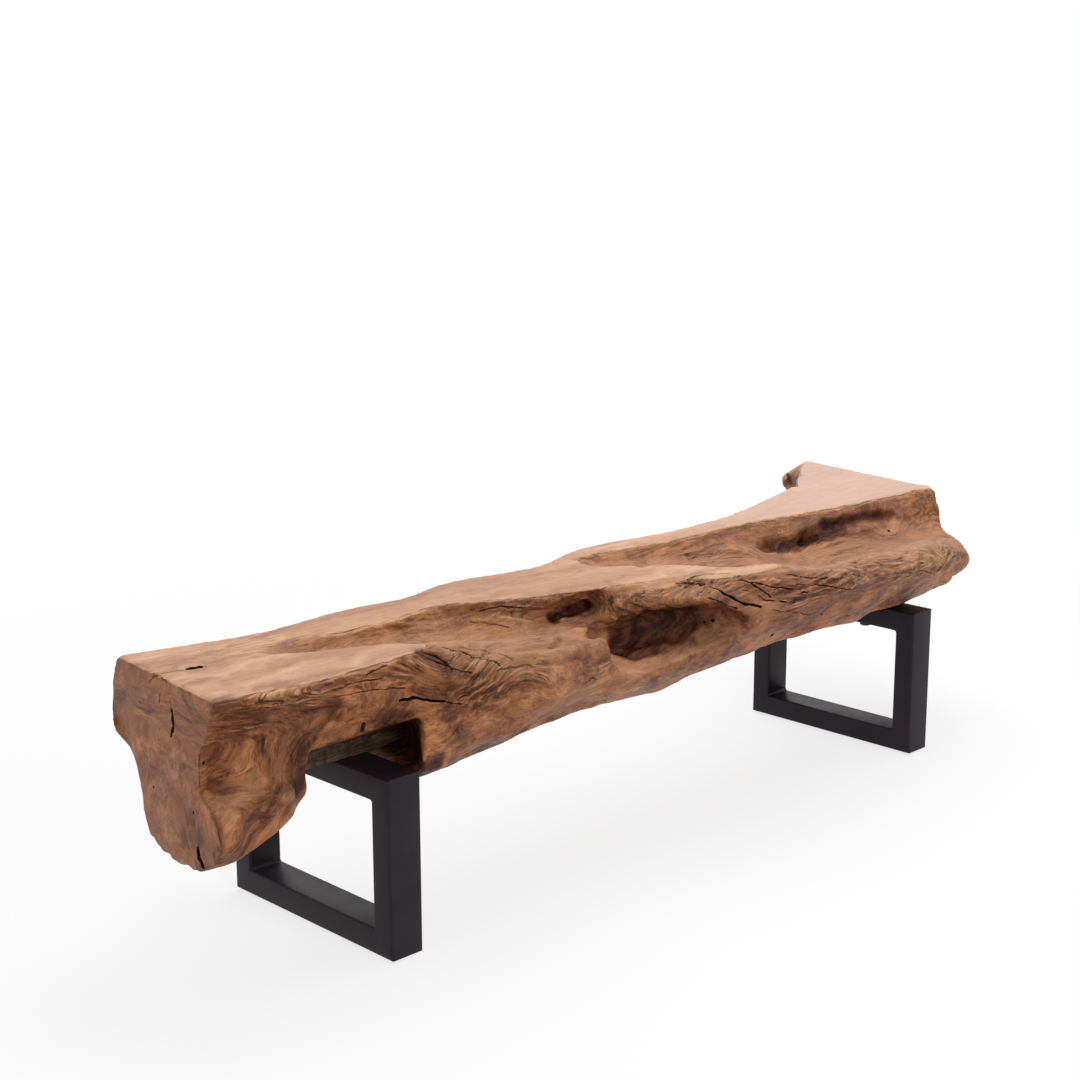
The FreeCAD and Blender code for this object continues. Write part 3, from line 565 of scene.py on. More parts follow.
# Knots: the pixel, the radius and how far they push the grain aside
KNOTS = (
    ((171, 722), 34, 16), ((211, 750), 38, 30), ((204, 800), 44, -18), ((336, 711), 26, 20),
    ((446, 660), 60, 40), ((602, 612), 44, 15), ((700, 622), 50, -15), ((888, 533), 36, 30),
    ((520, 700), 60, -35), ((262, 780), 44, 35), ((940, 565), 50, 35), ((780, 560), 50, 25),
    ((190, 838), 30, 12),
)


def seen_on(tree, line):
    """The points of the log that the photograph shows at the pixels of a line, without those beside it."""
    found = []
    for across, down in line:
        point = tree.ray_cast(CAMERA_PLACE, sight_line(across, down))[0]
        if point is not None:
            found.append(np.array(point))
    return found


def reach_from(points, line, most):
    """Distance of every point to a line through space, and a large number where it is over most."""
    nearest = np.full(len(points), 9.0)
    if not line:
        return nearest
    low, high = np.min(line, axis=0) - most, np.max(line, axis=0) + most
    near = np.flatnonzero(((points > low) & (points < high)).all(axis=1))
    close = points[near]
    gaps = np.linalg.norm(close - line[0], axis=1)
    for start, end in zip(line, line[1:]):
        run = end - start
        share = np.clip((close - start) @ run / max(run @ run, 1e-12), 0, 1)
        gaps = np.minimum(gaps, np.linalg.norm(close - start - share[:, None] * run, axis=1))
    nearest[near] = gaps
    return nearest


def closeness(points, tree, line, reach, full=0.0):
    """1 on a line of pixels, or within the full share of its reach, and 0 from the reach on."""
    return smooth_step(1.0, full, reach_from(points, seen_on(tree, line), reach) / reach)


def softness(points, tree):
    """1 in the middle of the places that are worn soft."""
    soft = np.zeros(len(points))
    for line, half in SOFT:
        soft = np.maximum(soft, closeness(points, tree, line, half * SPREAD, 0.3))
    return soft


def finer_at_cracks(piece, tree):
    """Divide the faces at the cracks and pits again, so that these come out thin and deep."""
    points = read_points(piece.data)
    near = np.zeros(len(points), bool)
    for line, half, _ in (*CRACKS, *(((spot,), radius, depth) for spot, radius, depth in PITS)):
        reach = half * 1.5 * MM + 4.5 * MM
        near |= reach_from(points, seen_on(tree, line), reach) < reach
    within = near[read_edges(piece.data)].all(axis=1)
    with editing(piece.data) as shape:
        shape.edges.ensure_lookup_table()
        chosen = [shape.edges[index] for index in np.flatnonzero(within)]
        bmesh.ops.subdivide_edges(shape, edges=chosen, cuts=2, use_grid_fill=True)


def plane_gap(points, cut):
    """Distance to the right of a saw cut's plane."""
    edge, skew = cut
    across = points[:, 0] - edge - math.tan(skew) * (points[:, 1] - FRAME_FRONT)
    return across * math.cos(skew)


def on_plane(points, cut, share):
    """Bring points to a saw cut's plane, each by its share of the way."""
    gap = plane_gap(points, cut) * share
    points[:, 0] -= gap * math.cos(cut[1])
    points[:, 1] += gap * math.sin(cut[1])


def sawn_parts(points, normals):
    """Which points lie on the seat, the two saw cuts, the flats over the rails and in the open hollow."""
    seat = (points[:, 2] > SEAT_HEIGHT - 2.5 * MM) & (normals[:, 2] > FACING)
    left = (np.abs(plane_gap(points, LEFT_CUT)) < AT_PLANE) & (normals[:, 0] < -FACING)
    right = (np.abs(plane_gap(points, RIGHT_CUT)) < AT_PLANE) & (normals[:, 0] > FACING)
    from_rail = np.min([np.abs(points[:, 0] - middle) for middle in RAIL_MIDDLES], axis=0)
    bearing = (np.abs(points[:, 2] - RAIL_TOP) < AT_PLANE) & (normals[:, 2] < -FACING)
    bearing &= from_rail < RAIL_REACH
    hollow = ((points > HOLLOW_LOW) & (points < HOLLOW_HIGH)).all(axis=1)
    return seat, left, right, bearing, hollow


def tree_of(mesh):
    corners = [vertex.co for vertex in mesh.vertices]
    return BVHTree.FromPolygons(corners, [face.vertices for face in mesh.polygons])


def log_body(piece):
    """Smooth the covered log between its sawn planes and pull its outline into place."""
    mesh = piece.data
    points, edges = read_points(mesh), read_edges(mesh)
    seat, left, right, bearing, hollow = sawn_parts(points, read_normals(mesh))
    inner_right = (relaxed(right.astype(float), edges, 24, 0.5) > 0.90).astype(float)
    sawn_left = smooth_step(0.35, 0.75, relaxed(left.astype(float), edges, 3, 0.5))
    fixed = (bearing | hollow).astype(float)
    free = np.minimum(1 - fixed, relaxed(1 - fixed, edges, 3, 0.5))
    for _ in range(9):
        points = relaxed(points, edges, 5, 0.5, 0.52, free)
        points[seat, 2] = SEAT_HEIGHT
        on_plane(points, LEFT_CUT, sawn_left)
        on_plane(points, RIGHT_CUT, inner_right)
    near_right = smooth_step(0.07, 0.02, np.abs(plane_gap(points, RIGHT_CUT))) * (1 - inner_right)
    near_right *= 1 - relaxed(seat.astype(float), edges, 5, 0.5)
    points = relaxed(points, edges, 40, 0.5, 0.0, near_right * free)
    under_seat = smooth_step(0.20, 0.0, relaxed(seat.astype(float), edges, 8, 0.5))
    left_edge = np.clip(4 * sawn_left * (1 - sawn_left) * under_seat, 0, 1)
    points = relaxed(points, edges, 8, 0.5, 0.0, left_edge * free)
    on_plane(points, LEFT_CUT, sawn_left)
    # The worn rim of the seat
    rim = relaxed(seat.astype(float), edges, 3, 0.5)
    ends = relaxed(np.maximum(left, inner_right), edges, 3, 0.5)
    rim = 4 * rim * (1 - rim) * np.clip(1 - 1.5 * ends, 0, 1)
    points = relaxed(points, edges, 3, 0.6, 0.0, np.clip(rim, 0, 1))
    write_points(mesh, points)

    tree, turn = tree_of(mesh), np.array(camera_turn())
    soft = softness(points, tree)
    points = relaxed(points, edges, 36, 0.5, 0.0, soft)
    shift = np.zeros_like(points)
    for start, end, radius in PULLS:
        for spot in seen_on(tree, (start,)):
            depth = -(spot - np.array(CAMERA_PLACE)) @ turn[:, 2]
            way = turn[:, 0] * (end[0] - start[0]) - turn[:, 1] * (end[1] - start[1])
            share = smooth_step(1.0, 0.0, np.linalg.norm(points - spot, axis=1) / (radius * SPREAD))
            shift += share[:, None] * way * depth / LENS_PIXELS
    points += shift * (1 - relaxed(fixed, edges, 2, 0.5))[:, None]
    seat &= soft < 0.05
    points[seat, 2] = SEAT_HEIGHT
    on_plane(points, LEFT_CUT, sawn_left)
    write_points(mesh, points)


def flowing(points, tree):
    """Coordinates with the grain along the first axis, bent down into the lobe and round the knots."""
    flow = points.copy()
    flow[:, 2] += 0.9 * np.clip(-0.66 - points[:, 0], 0, 1) * smooth_step(0.45, 0.36, points[:, 2])
    for place, radius, push in KNOTS:
        for spot in seen_on(tree, (place,)):
            share = np.exp(-((points - spot) ** 2).sum(axis=1) / (radius * MM) ** 2)
            flow[:, 2] += push * MM * share
            flow[:, 1] += 0.6 * push * MM * share
    bend = noise_vectors(points * np.array((4.0, 9.0, 9.0)), 11, 12, 13)
    turn = noise_vectors(points * np.array((14.0, 24.0, 24.0)), 14, 15, 16)
    return flow + bend * np.array((0.03, 0.022, 0.022)) + turn * np.array((0.006, 0.0035, 0.0035))


def hollow_depth(mesh, points, normals, edges):
    """How deep each point lies in a hollow: 0 outside, 1 at DEEP under the log's wide form."""
    cover = remeshed(new_piece("hollow_probe", mesh.copy()), 10 * MM)
    body = cover.data
    write_points(body, relaxed(read_points(body), read_edges(body), 45, 0.5))
    probe = tree_of(body)
    sunk = np.zeros(len(points))
    for index, spot in enumerate(points + normals * MM):
        near, facing, _, gap = probe.find_nearest(Vector(spot))
        sunk[index] = gap if facing.dot(Vector(spot) - near) < 0 else 0.0
    bpy.data.objects.remove(cover)
    return np.clip(relaxed(sunk, edges, 3, 0.5) / DEEP, 0, 1)


def folded(points, tree, drift):
    """How far the folds lift each point, and how much they wear away what was flat."""
    lift, worn = np.zeros(len(points)), np.zeros(len(points))
    for line, half, depth in FOLDS:
        share = closeness(points + FOLD_DRIFT * drift, tree, line, half * MM)
        lift -= share * depth * MM
        worn += share * abs(depth) / 5
    return lift, np.clip(worn, 0, 1)


def fibrous(grain):
    """How far three sizes of fibre lift each point."""
    coarse_place = grain * np.array((5.5, 52.0, 52.0))
    coarse = ridges(coarse_place, 21)
    middle = ridges(coarse_place * np.array((1.6, 2.1, 2.1)), 22)
    fine = ridges(coarse_place * np.array((2.5, 4.2, 4.2)), 23)
    return 5.0 * MM * (coarse - 0.45) + 3.0 * MM * (middle - 0.45) + 1.6 * MM * (fine - 0.4)


def cracked(points, tree):
    """How far the cracks and pits sink each point, and 1 where it lies inside one."""
    sink, crack = np.zeros(len(points)), np.zeros(len(points))
    jitter = 1 + 0.4 * noise(points * 130, 41) + 0.6 * noise(points * 50, 49)
    wander = points + CRACK_JITTER * noise_vectors(points * 70, 43, 44, 45)
    for line, half, depth in CRACKS:
        apart = reach_from(wander, seen_on(tree, line), 20 * MM) / (half * MM * jitter + 0.9 * MM)
        sink += smooth_step(1.0, 0.15, apart) * depth * MM
        crack = np.maximum(crack, smooth_step(1.15, 0.85, apart) * min(1.0, depth / 11))
    for spot, radius, depth in PITS:
        apart = reach_from(points, seen_on(tree, (spot,)), 30 * MM) / (radius * MM * jitter + 0.8 * MM)
        sink += smooth_step(1.0, 0.2, apart) * depth * MM
        crack = np.maximum(crack, smooth_step(1.10, 0.75, apart))
    return sink, crack


def stains_shade_and_highlights(points, tree, drift):
    """How much darker, or below 0 paler, each point is than its surroundings."""
    stain_shade_highlight = np.zeros(len(points))
    wobble = 1 + 0.4 * layered_noise(points * 32, 2, 42)
    for line, half, dark in STAINS_SHADE_AND_HIGHLIGHTS:
        reach = half * MM
        gap = reach_from(points + STAIN_SHADE_DRIFT * drift, seen_on(tree, line), 2.5 * reach)
        stain_shade_highlight += dark * smooth_step(1.4, 0.1, gap / (reach * wobble))
    return stain_shade_highlight


def log_relief(piece, tree, relief):
    """Give the smooth log its fibres, folds, pits and cracks, and note them for its material."""
    mesh = piece.data
    points, normals, edges = read_points(mesh), read_normals(mesh), read_edges(mesh)
    seat, left, right, bearing, hollow = sawn_parts(points, normals)
    inner_right = relaxed(right.astype(float), edges, 60, 0.5) > 0.85
    ends = relaxed((left | inner_right).astype(float), edges, 4, 0.5)
    carried = 1 - relaxed((bearing | hollow).astype(float), edges, 5, 0.5)
    soft = softness(points, tree)
    grain = flowing(points, tree)
    upward = relaxed(normals[:, 2], edges, 6, 0.5)
    sunk = hollow_depth(mesh, points, normals, edges)
    height = (points[:, 2] - RAIL_TOP) / (SEAT_HEIGHT - RAIL_TOP)

    drift = noise_vectors(points * 26, 46, 47, 48)
    shift, worn = folded(points, tree, drift)
    shift *= (1 - np.clip(1.6 * ends, 0, 1)) * carried
    flat = np.clip(1.3 * relaxed(seat.astype(float), edges, 3, 0.5) + 1.5 * ends, 0, 1) * (1 - worn)
    sanded = relaxed(seat.astype(float), edges, 12, 0.5) * (1 - 0.6 * soft) * (1 - worn)

    # Where the surface is rough, and where lumps and creases may bend it
    frayed = np.zeros(len(points))
    for line, half, share in FRAYS:
        frayed += share * closeness(points, tree, line, half * MM)
    patchy = smooth_step(-0.3, 0.5, layered_noise(points * np.array((5.0, 9.0, 9.0)), 2, 26))
    front = smooth_step(0.06, -0.06, points[:, 1])
    near_right = smooth_step(0.07, 0.0, np.abs(plane_gap(points, RIGHT_CUT)))
    near_left = smooth_step(0.06, 0.0, np.abs(plane_gap(points, LEFT_CUT)))
    lobe = smooth_step(-0.70, -0.78, points[:, 0]) * smooth_step(0.75, 0.45, height)
    calm = (1 - flat) * (1 - 0.8 * near_left) * (1 - 0.6 * sunk)
    calm *= 1 - 0.85 * smooth_step(0.0, 0.25, sanded) * (1 - front)
    rough = 0.20 + 0.35 * patchy * smooth_step(0.1, 0.7, height) + 0.45 * frayed
    rough *= calm * (1 - 0.7 * sanded) * (1 - 0.75 * near_right) * (1 - 0.6 * lobe) * (1 - 0.7 * soft)
    loose = calm * carried * (1 - 0.85 * near_right) * (1 - 0.7 * lobe) * (1 - 0.5 * soft)

    lumps = layered_noise(points * np.array((7.0, 12.0, 12.0)), 4, 24)
    creased = np.abs(noise(grain * np.array((6.0, 17.0, 17.0)), 28))
    creased += 0.4 * np.abs(noise(grain * np.array((15.0, 36.0, 36.0)), 29))
    shift += relief * rough * fibrous(grain) * carried
    shift += (4.5 * MM * lumps + 8.5 * MM * (creased - 0.28)) * loose
    # The chipped rim of the seat, and the knobbly right end
    chips = 0.5 * layered_noise(points * np.array((14.0, 14.0, 4.0)), 2, 27)
    chips += 0.9 * np.abs(noise(grain * np.array((12.0, 75.0, 75.0)), 30))
    rim = 4 * sanded * (1 - sanded) * (1 - flat)
    shift -= 6 * MM * rim * np.clip(chips, 0, 1) * (0.1 + 0.9 * front)
    cells = np.abs(noise(points * np.array((60.0, 80.0, 80.0)), 31))
    knobbly = smooth_step(0.76, 0.92, points[:, 0]) * (1 - flat) * smooth_step(0.5, 0.2, sanded) * front
    shift -= 3.6 * MM * knobbly * (1 - smooth_step(0.0, 0.22, cells))
    sink, crack = cracked(points, tree)
    shift -= sink
    # Real stains, painted shade in the hollows and painted highlights on the lobe's facets
    stain_shade_highlight = stains_shade_and_highlights(points, tree, drift)

    points = points + normals * shift[:, None]
    points[:, 2] = np.minimum(points[:, 2], SEAT_HEIGHT)
    low, high = (np.array(corner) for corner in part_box("log"))
    write_points(mesh, np.clip(points, low, high))
    small = shift - relaxed(shift, edges, 10, 0.5)
    for name, values in (
        ("sanded", np.clip(sanded * 1.15, 0, 1) * (1 - crack)), ("sawn", ends), ("sunk", sunk),
        ("upward", upward), ("relief", 0.5 + 220 * small), ("crack", crack), ("stain_shade_highlight", 0.5 + 0.5 * stain_shade_highlight),
        ("frayed", rough / 2),
    ):
        keep_value(mesh, name, np.clip(values, 0, 1))
    keep_vector(mesh, "grain", grain)


def seat_tones(make, sizes, across, streaks, swirl):
    """The seat: faint long grain, browner in the middle, and a painted sheen that turns it pinker and paler
    to the right.
    """
    long_grain = make.figured((2.6, 24, 24), swirl, 0.10, None, 4.0, 0.6, 0.3)
    colour = make.banded(
        long_grain, (0.30, sizes.seat_dark), (0.47, sizes.seat_colour), (0.66, sizes.seat_pale))
    colour = make.mixed(make.level(streaks, 0.48, 0.72, 0.0, 0.26), colour, sizes.seat_dark)
    middle = make.maths("ABSOLUTE", make.plus(across, 0.40))
    colour = make.mixed(make.level(middle, 0.08, 0.50, 0.48, 0.0), colour, sizes.seat_dark)
    # Painted sheen: the seat turns towards the pale pink colour to the right.
    return make.mixed(make.level(across, -0.1, 0.7, 0.0, 0.75), colour, sizes.seat_painted_sheen)


def vein_lines(make, sanded, patches, grain, swirl):
    """Thin dark veins round the patches of the burr, but not on the seat."""
    veins = make.lines_in(make.figured((14, 24, 24), swirl, 0.07, grain, 3.0, 0.6, 1.0), 0.002, 0.022)
    veins = make.times(veins, make.level(patches, 0.40, 0.60, 0.9, 0.1))
    return make.times(veins, make.level(sanded, 0.02, 0.30, 1.0, 0.0))


def burr_tones(make, sizes, patches, figure, veins, grain, swirl):
    """Burr: soft patches within larger ones, specks, veins and the lines of the rings."""
    tone = make.plus(make.times(patches, 0.5), make.times(figure, 0.5))
    colour = make.banded(
        tone, (0.37, sizes.burl_dark), (0.46, sizes.burl_colour), (0.54, sizes.burl_warm),
        (0.64, sizes.burl_pale))
    specks = make.figured((60, 130, 130), swirl, 0.02, grain, 3.0, 0.7, 0.5)
    colour = make.mixed(make.level(specks, 0.50, 0.66, 0.0, 0.60), colour, sizes.burl_dark)
    colour = make.mixed(make.times(veins, 0.7), colour, sizes.burl_dark)
    rings = make.figured((5, 9, 9), swirl, 0.06, grain, 2.0, 0.5, 0.4)
    between = make.level(make.maths("PINGPONG", make.times(rings, 30.0), 1.0), 0.0, 0.50)
    return make.mixed(make.times(make.less(1.0, between), 0.20), colour, sizes.burl_dark)


def edge_tones(make, sizes, relief, fibres, threads):
    """Live edge: worn fibres, darker in the grooves and paler on the crests of the relief, which is painted
    shade in the grooves and painted highlight on the crests.
    """
    tone = make.plus(make.times(relief, 0.50), make.times(fibres, 0.50))
    colour = make.banded(
        tone, (0.33, sizes.edge_dark), (0.46, sizes.edge_colour), (0.56, sizes.burl_warm),
        (0.70, sizes.edge_pale))
    return make.mixed(make.level(threads, 0.49, 0.60, 0.0, 0.75), colour, sizes.edge_dark)


def split_lines(make, frayed, grain, warp):
    """Fine splits along the grain, most of them where it is frayed."""
    split = make.lines_in(make.figured((4, 80, 80), warp, 0.04, grain, 2.0, 0.6), 0.003, 0.017)
    here = make.figured((9, 22, 22), None, 0.0, grain, 2.0)
    split = make.times(split, make.level(here, 0.44, 0.58))
    return make.times(split, make.level(frayed, 0.12, 0.42, 0.12, 1.0))


def marked(make, sizes, colour, stain_shade_highlight, fibres, figure):
    """Lay the stains, the painted shade and the painted highlights of the listed marks over a colour, with
    ragged edges.
    """
    dark = make.times(make.less(stain_shade_highlight, 0.5), 2.0)
    mottle = make.level(figure, 0.38, 0.60, 0.15, -0.20)
    shaded = make.times(dark, make.plus(make.level(fibres, 0.40, 0.60, 1.15, 0.85), mottle))
    # Painted shade: the dark marks turn the colour towards the shade colour, and the darkest towards the
    # hollow shade.
    colour = make.mixed(make.level(shaded, 0.0, 0.60, 0.0, 0.85), colour, sizes.shade_colour)
    colour = make.mixed(make.level(shaded, 0.42, 1.20, 0.0, 0.94), colour, sizes.hollow_shade_colour)
    # Pale marks: paler worn wood, and painted highlights on the lobe's facets.
    pale = make.times(make.times(dark, -1.0, True), make.level(fibres, 0.40, 0.58, 0.45, 1.2))
    return make.mixed(pale, colour, sizes.worn_rim_and_highlight_colour)


def log_wood(sizes):
    """Teak: pale and sanded on the seat, brown and figured elsewhere, and painted dark in the hollows and
    cracks as their shade.
    """
    make = Recipe("log wood")
    sanded, sawn, sunk, relief, crack, stain_shade_highlight, frayed, upward = (make.stored(name) for name in (
        "sanded", "sawn", "sunk", "relief", "crack", "stain_shade_highlight", "frayed", "upward"))
    grain = make.add("Attribute", {"attribute_name": "grain"}).outputs["Vector"]
    across = make.add("SeparateXYZ", Vector=make.place).outputs["X"]
    warp = make.clouds(make.place, 5.0, 2.0, output="Color")
    swirl = make.clouds(make.place, 16.0, 3.0, output="Color")
    streaks = make.figured((7, 210, 210), warp, 0.05, None, 3.0, 0.65)
    patches = make.figured((10, 14, 14), swirl, 0.06, grain, 2.0, 0.5, 1.0)
    figure = make.figured((22, 34, 34), swirl, 0.04, grain, 4.0, 0.6, 1.3)
    fibres = make.figured((10, 150, 150), warp, 0.06, grain, 4.0, 0.7)
    threads = make.figured((24, 420, 420), warp, 0.04, grain, 3.0, 0.7)
    dull = make.figured((11, 20, 20), swirl, 0.05, grain, 3.0, 0.6)
    pores = make.figured((60, 900, 900), warp, 0.03, grain, 2.0)
    veins = vein_lines(make, sanded, patches, grain, swirl)
    split = split_lines(make, frayed, grain, warp)
    burr = burr_tones(make, sizes, patches, figure, veins, grain, swirl)

    mottle = make.level(figure, 0.35, 0.6, -0.2, 0.1)
    fibrous_part = make.plus(make.level(frayed, 0.05, 0.45, 0.15, 1.0), mottle)
    side = make.mixed(fibrous_part, burr, edge_tones(make, sizes, relief, fibres, threads))
    side = make.mixed(make.level(dull, 0.52, 0.68, 0.0, 0.42), side, sizes.dull_colour)
    # Faces that look up take part of the pale seat colour: painted light from above on the live edge.
    side = make.mixed(make.level(upward, 0.25, 0.95, 0.0, 0.45), side, sizes.seat_colour)
    # Painted shade in the fine splits: they take the near-black crack colour.
    side = make.mixed(make.times(split, 0.90), side, sizes.crack_shade_colour)
    side = make.mixed(make.level(across, -0.65, -0.35, 0.0, 0.16), side, sizes.pink_colour)
    face = make.mixed(make.level(dull, 0.40, 0.60, 0.60, 0.20), burr, sizes.sawn_colour)
    colour = make.mixed(sawn, side, face)
    top_share = make.level(make.plus(sanded, make.times(figure, 0.3)), 0.45, 0.80)
    colour = make.mixed(top_share, colour, seat_tones(make, sizes, across, streaks, swirl))
    # A worn pale line along the edge of the seat
    rim = make.times(sanded, make.less(1.0, sanded))
    rim = make.times(make.level(rim, 0.04, 0.22), make.level(fibres, 0.42, 0.58))
    rim = make.times(rim, make.less(0.75, sawn, True))
    colour = make.mixed(rim, colour, sizes.worn_rim_and_highlight_colour)
    colour = marked(make, sizes, colour, stain_shade_highlight, fibres, figure)
    # Painted shade: the deeper a point lies in a hollow, the nearer its colour comes to the dark hollow
    # shade.
    colour = make.mixed(make.level(sunk, 0.22, 0.95, 0.0, 0.86), colour, sizes.hollow_shade_colour)
    # Painted shade inside the cracks and pits: near black.
    colour = make.mixed(make.level(crack, 0.15, 0.75, 0.0, 0.97), colour, sizes.crack_shade_colour)

    gloss = make.level(make.plus(streaks, make.times(relief, -0.2)), 0.2, 0.8, 0.34, 0.55)
    gloss = make.mixed(make.level(make.plus(sunk, crack), 0.1, 0.6), gloss, grey(0.98))
    uneven = make.level(sanded, 0.1, 0.8, 1.0, 0.05)
    calm = make.times(uneven, make.less(1.0, make.times(sawn, 0.7)))
    thread_depth = make.times(calm, make.level(frayed, 0.05, 0.5, 0.3, 1.0))
    split_depth = make.times(split, make.less(uneven, sawn, True))
    normal = None
    for height, distance, strength in (
        (make.times(figure, calm), 5.0, 0.6), (make.times(fibres, calm), 3.4, 0.9),
        (make.times(make.less(1.0, veins), calm), 1.2, 0.6), (make.times(threads, thread_depth), 2.8, 0.9),
        (make.less(1.0, split_depth), 3.0, 0.9), (pores, 0.2, 0.5),
    ):
        normal = make.bump(height, distance * MM, strength, normal)
    return make.finish(Base_Color=colour, Roughness=gloss, Specular_IOR_Level=0.14, Normal=normal)


# Other finishes

def black_coat(sizes):
    """Satin powder coat with its fine orange peel and rubbed patches."""
    make = Recipe("black powder coat")
    peel = make.clouds(make.place, 420.0, 2.0)
    patch = make.clouds(make.place, 9.0, 4.0, 0.6)
    fleck = make.clouds(make.place, 900.0, 1.0)
    colour = make.mixed(make.level(patch, 0.35, 0.7), sizes.coat_colour, sizes.coat_pale)
    colour = make.mixed(make.level(fleck, 0.62, 0.72, 0.0, 0.25), colour, sizes.coat_pale)
    gloss = make.level(patch, 0.3, 0.7, 0.38, 0.50)
    normal = make.bump(peel, 0.12 * MM, 0.5)
    return make.finish(Base_Color=colour, Roughness=gloss, Specular_IOR_Level=0.16, Normal=normal)


def zinc(sizes):
    """Black zinc plate, brushed and a little dulled."""
    make = Recipe("zinc plate")
    brushed = make.figured((60, 60, 900), None, 0.0, None, 3.0)
    dull = make.clouds(make.place, 60.0, 3.0)
    colour = make.mixed(dull, sizes.zinc_colour, sizes.zinc_dull)
    return make.finish(Base_Color=colour, Roughness=make.level(brushed, 0.3, 0.7, 0.28, 0.46), Metallic=1.0,
                       Normal=make.bump(brushed, 0.00005, 0.4))


def moulded(sizes):
    """Black moulded plastic with a fine spark texture."""
    make = Recipe("black moulded plastic")
    spark = make.clouds(make.place, 1500.0, 2.0)
    dust = make.clouds(make.place, 70.0, 4.0)
    colour = make.mixed(make.level(dust, 0.5, 0.8, 0.0, 0.5), sizes.disc_colour, sizes.disc_dusty)
    return make.finish(Base_Color=colour, Roughness=make.level(dust, 0.3, 0.8, 0.5, 0.7),
                       Normal=make.bump(spark, 0.00008, 0.6))


def weathered(sizes):
    """Old grey-brown batten with dark bands and split fibres."""
    make = Recipe("weathered batten")
    warp = make.clouds(make.place, 20.0, 2.0, output="Color")
    grain = make.figured((14, 260, 260), warp, 0.02, None, 4.0, 0.7)
    bands = make.figured((55, 14, 14), None, 0.0, None, 3.0, 0.7)
    splits = make.figured((30, 480, 480), warp, 0.02, None, 2.0)
    colour = make.banded(
        grain, (0.30, sizes.stick_dark), (0.50, sizes.stick_colour), (0.72, sizes.stick_pale))
    colour = make.mixed(make.level(bands, 0.50, 0.66, 0.0, 0.75), colour, sizes.stick_dark)
    colour = make.mixed(make.level(splits, 0.60, 0.70, 0.0, 0.8), colour, sizes.stick_dark)
    return make.finish(Base_Color=colour, Roughness=make.level(grain, 0.3, 0.7, 0.9, 0.72),
                       Normal=make.bump(grain, 0.0010, 0.9))


def ride_and_slot(piece, material, node, body):
    """Finish a piece: its material, the solid that it stands for, and what it moves with."""
    piece.data.materials.clear()
    piece.data.materials.append(material)
    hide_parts(node)
    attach(piece, body)
    return piece


def batten_forms(piece):
    """Fibres, worn ends and a thinner free end on the packer stick."""
    mesh = piece.data
    points, normals, edges = read_points(mesh), read_normals(mesh), read_edges(mesh)
    low, high = points.min(axis=0), points.max(axis=0)
    skin, worn_end, rail_side = 0.8 * MM, 16 * MM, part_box("left_top_rail")[1].x
    bearing = (points[:, 2] < low[2] + skin) | (points[:, 2] > high[2] - skin)
    points = relaxed(points, edges, 6, 0.5, 0.0, np.where(bearing, 0.2, 1.0))
    centre = (low + high) / 2
    past_rail = smooth_step(rail_side + 4 * MM, high[0], points[:, 0])
    points[:, 2] = centre[2] + (points[:, 2] - centre[2]) * (1 - 0.22 * past_rail) + MM * past_rail
    end = smooth_step(high[0] - worn_end, high[0], points[:, 0])
    points[:, 1:] = centre[1:] + (points[:, 1:] - centre[1:]) * (1 - 0.35 * end * end)[:, None]
    grain = points * np.array((14.0, 190.0, 190.0))
    lift = (1.2 * (ridges(grain, 51) - 0.6) + 0.6 * noise(grain * 2, 52) - 0.4) * MM
    lift *= np.where(bearing, 0.3, 1.0)
    write_points(mesh, points + normals * np.minimum(lift, 0.0)[:, None])
    shade(piece, 60)


def ring(shape, radius, height, segments):
    """A ring of points about the vertical axis, or one point where the radius is 0."""
    if radius == 0:
        return [shape.verts.new((0, 0, height))]
    turns = [2 * math.pi * step / segments for step in range(segments)]
    return [shape.verts.new((radius * math.cos(turn), radius * math.sin(turn), height)) for turn in turns]


def joined_rings(shape, rings, segments):
    """Faces between each ring of points and the next."""
    for lower, upper in zip(rings, rings[1:]):
        for step in range(segments):
            after = (step + 1) % segments
            if len(lower) == 1:
                shape.faces.new((lower[0], upper[after], upper[step]))
            elif len(upper) == 1:
                shape.faces.new((lower[step], lower[after], upper[0]))
            else:
                shape.faces.new((lower[step], lower[after], upper[after], upper[step]))


def turned_piece(name, shape, place):
    """A piece of its own from a shape being built, moved to its place."""
    bmesh.ops.translate(shape, verts=shape.verts, vec=place)
    mesh = bpy.data.meshes.new(name)
    shape.to_mesh(mesh)
    shape.free()
    return new_piece(name, mesh)


def lathed(name, outline, segments, place):
    """A turned piece from (radius, height) points, closed on its axis."""
    shape = bmesh.new()
    joined_rings(shape, [ring(shape, radius, height, segments) for radius, height in outline], segments)
    bmesh.ops.recalc_face_normals(shape, faces=shape.faces)
    return turned_piece(name, shape, place)


def threaded(name, radius, length, pitch, place):
    """A stem with a screw thread and a chamfered tip."""
    segments, rows_per_turn, depth = 32, 8, 0.61 * pitch
    rows = int(length / pitch * rows_per_turn) + 1
    root = radius - depth
    shape = bmesh.new()
    rings = []
    for row in range(rows):
        up = length * row / (rows - 1)
        rings.append([])
        for step in range(segments):
            turn = 2 * math.pi * step / segments
            phase = (up / pitch - step / segments) % 1.0
            crest = 1 - abs(2 * phase - 1)
            wide = root + (radius - root) * min(1.0, max(0.0, 1.5 * crest - 0.2))
            wide = min(wide, root + (length - up) * 0.8, root + up * 1.2)
            rings[-1].append(shape.verts.new((wide * math.cos(turn), wide * math.sin(turn), up)))
    joined_rings(shape, rings, segments)
    shape.faces.new(rings[0][::-1])
    shape.faces.new(rings[-1])
    return turned_piece(name, shape, place)


# Settings that a user would change

def colour_setting(name, description, colour):
    return bpy.props.FloatVectorProperty(
        name=name, description=description, default=colour, subtype="COLOR", min=0, max=1)


def length_setting(name, description, length):
    return bpy.props.FloatProperty(
        name=name, description=description, default=length, unit="LENGTH", precision=4)


def number_setting(name, description, number):
    return bpy.props.FloatProperty(name=name, description=description, default=number)


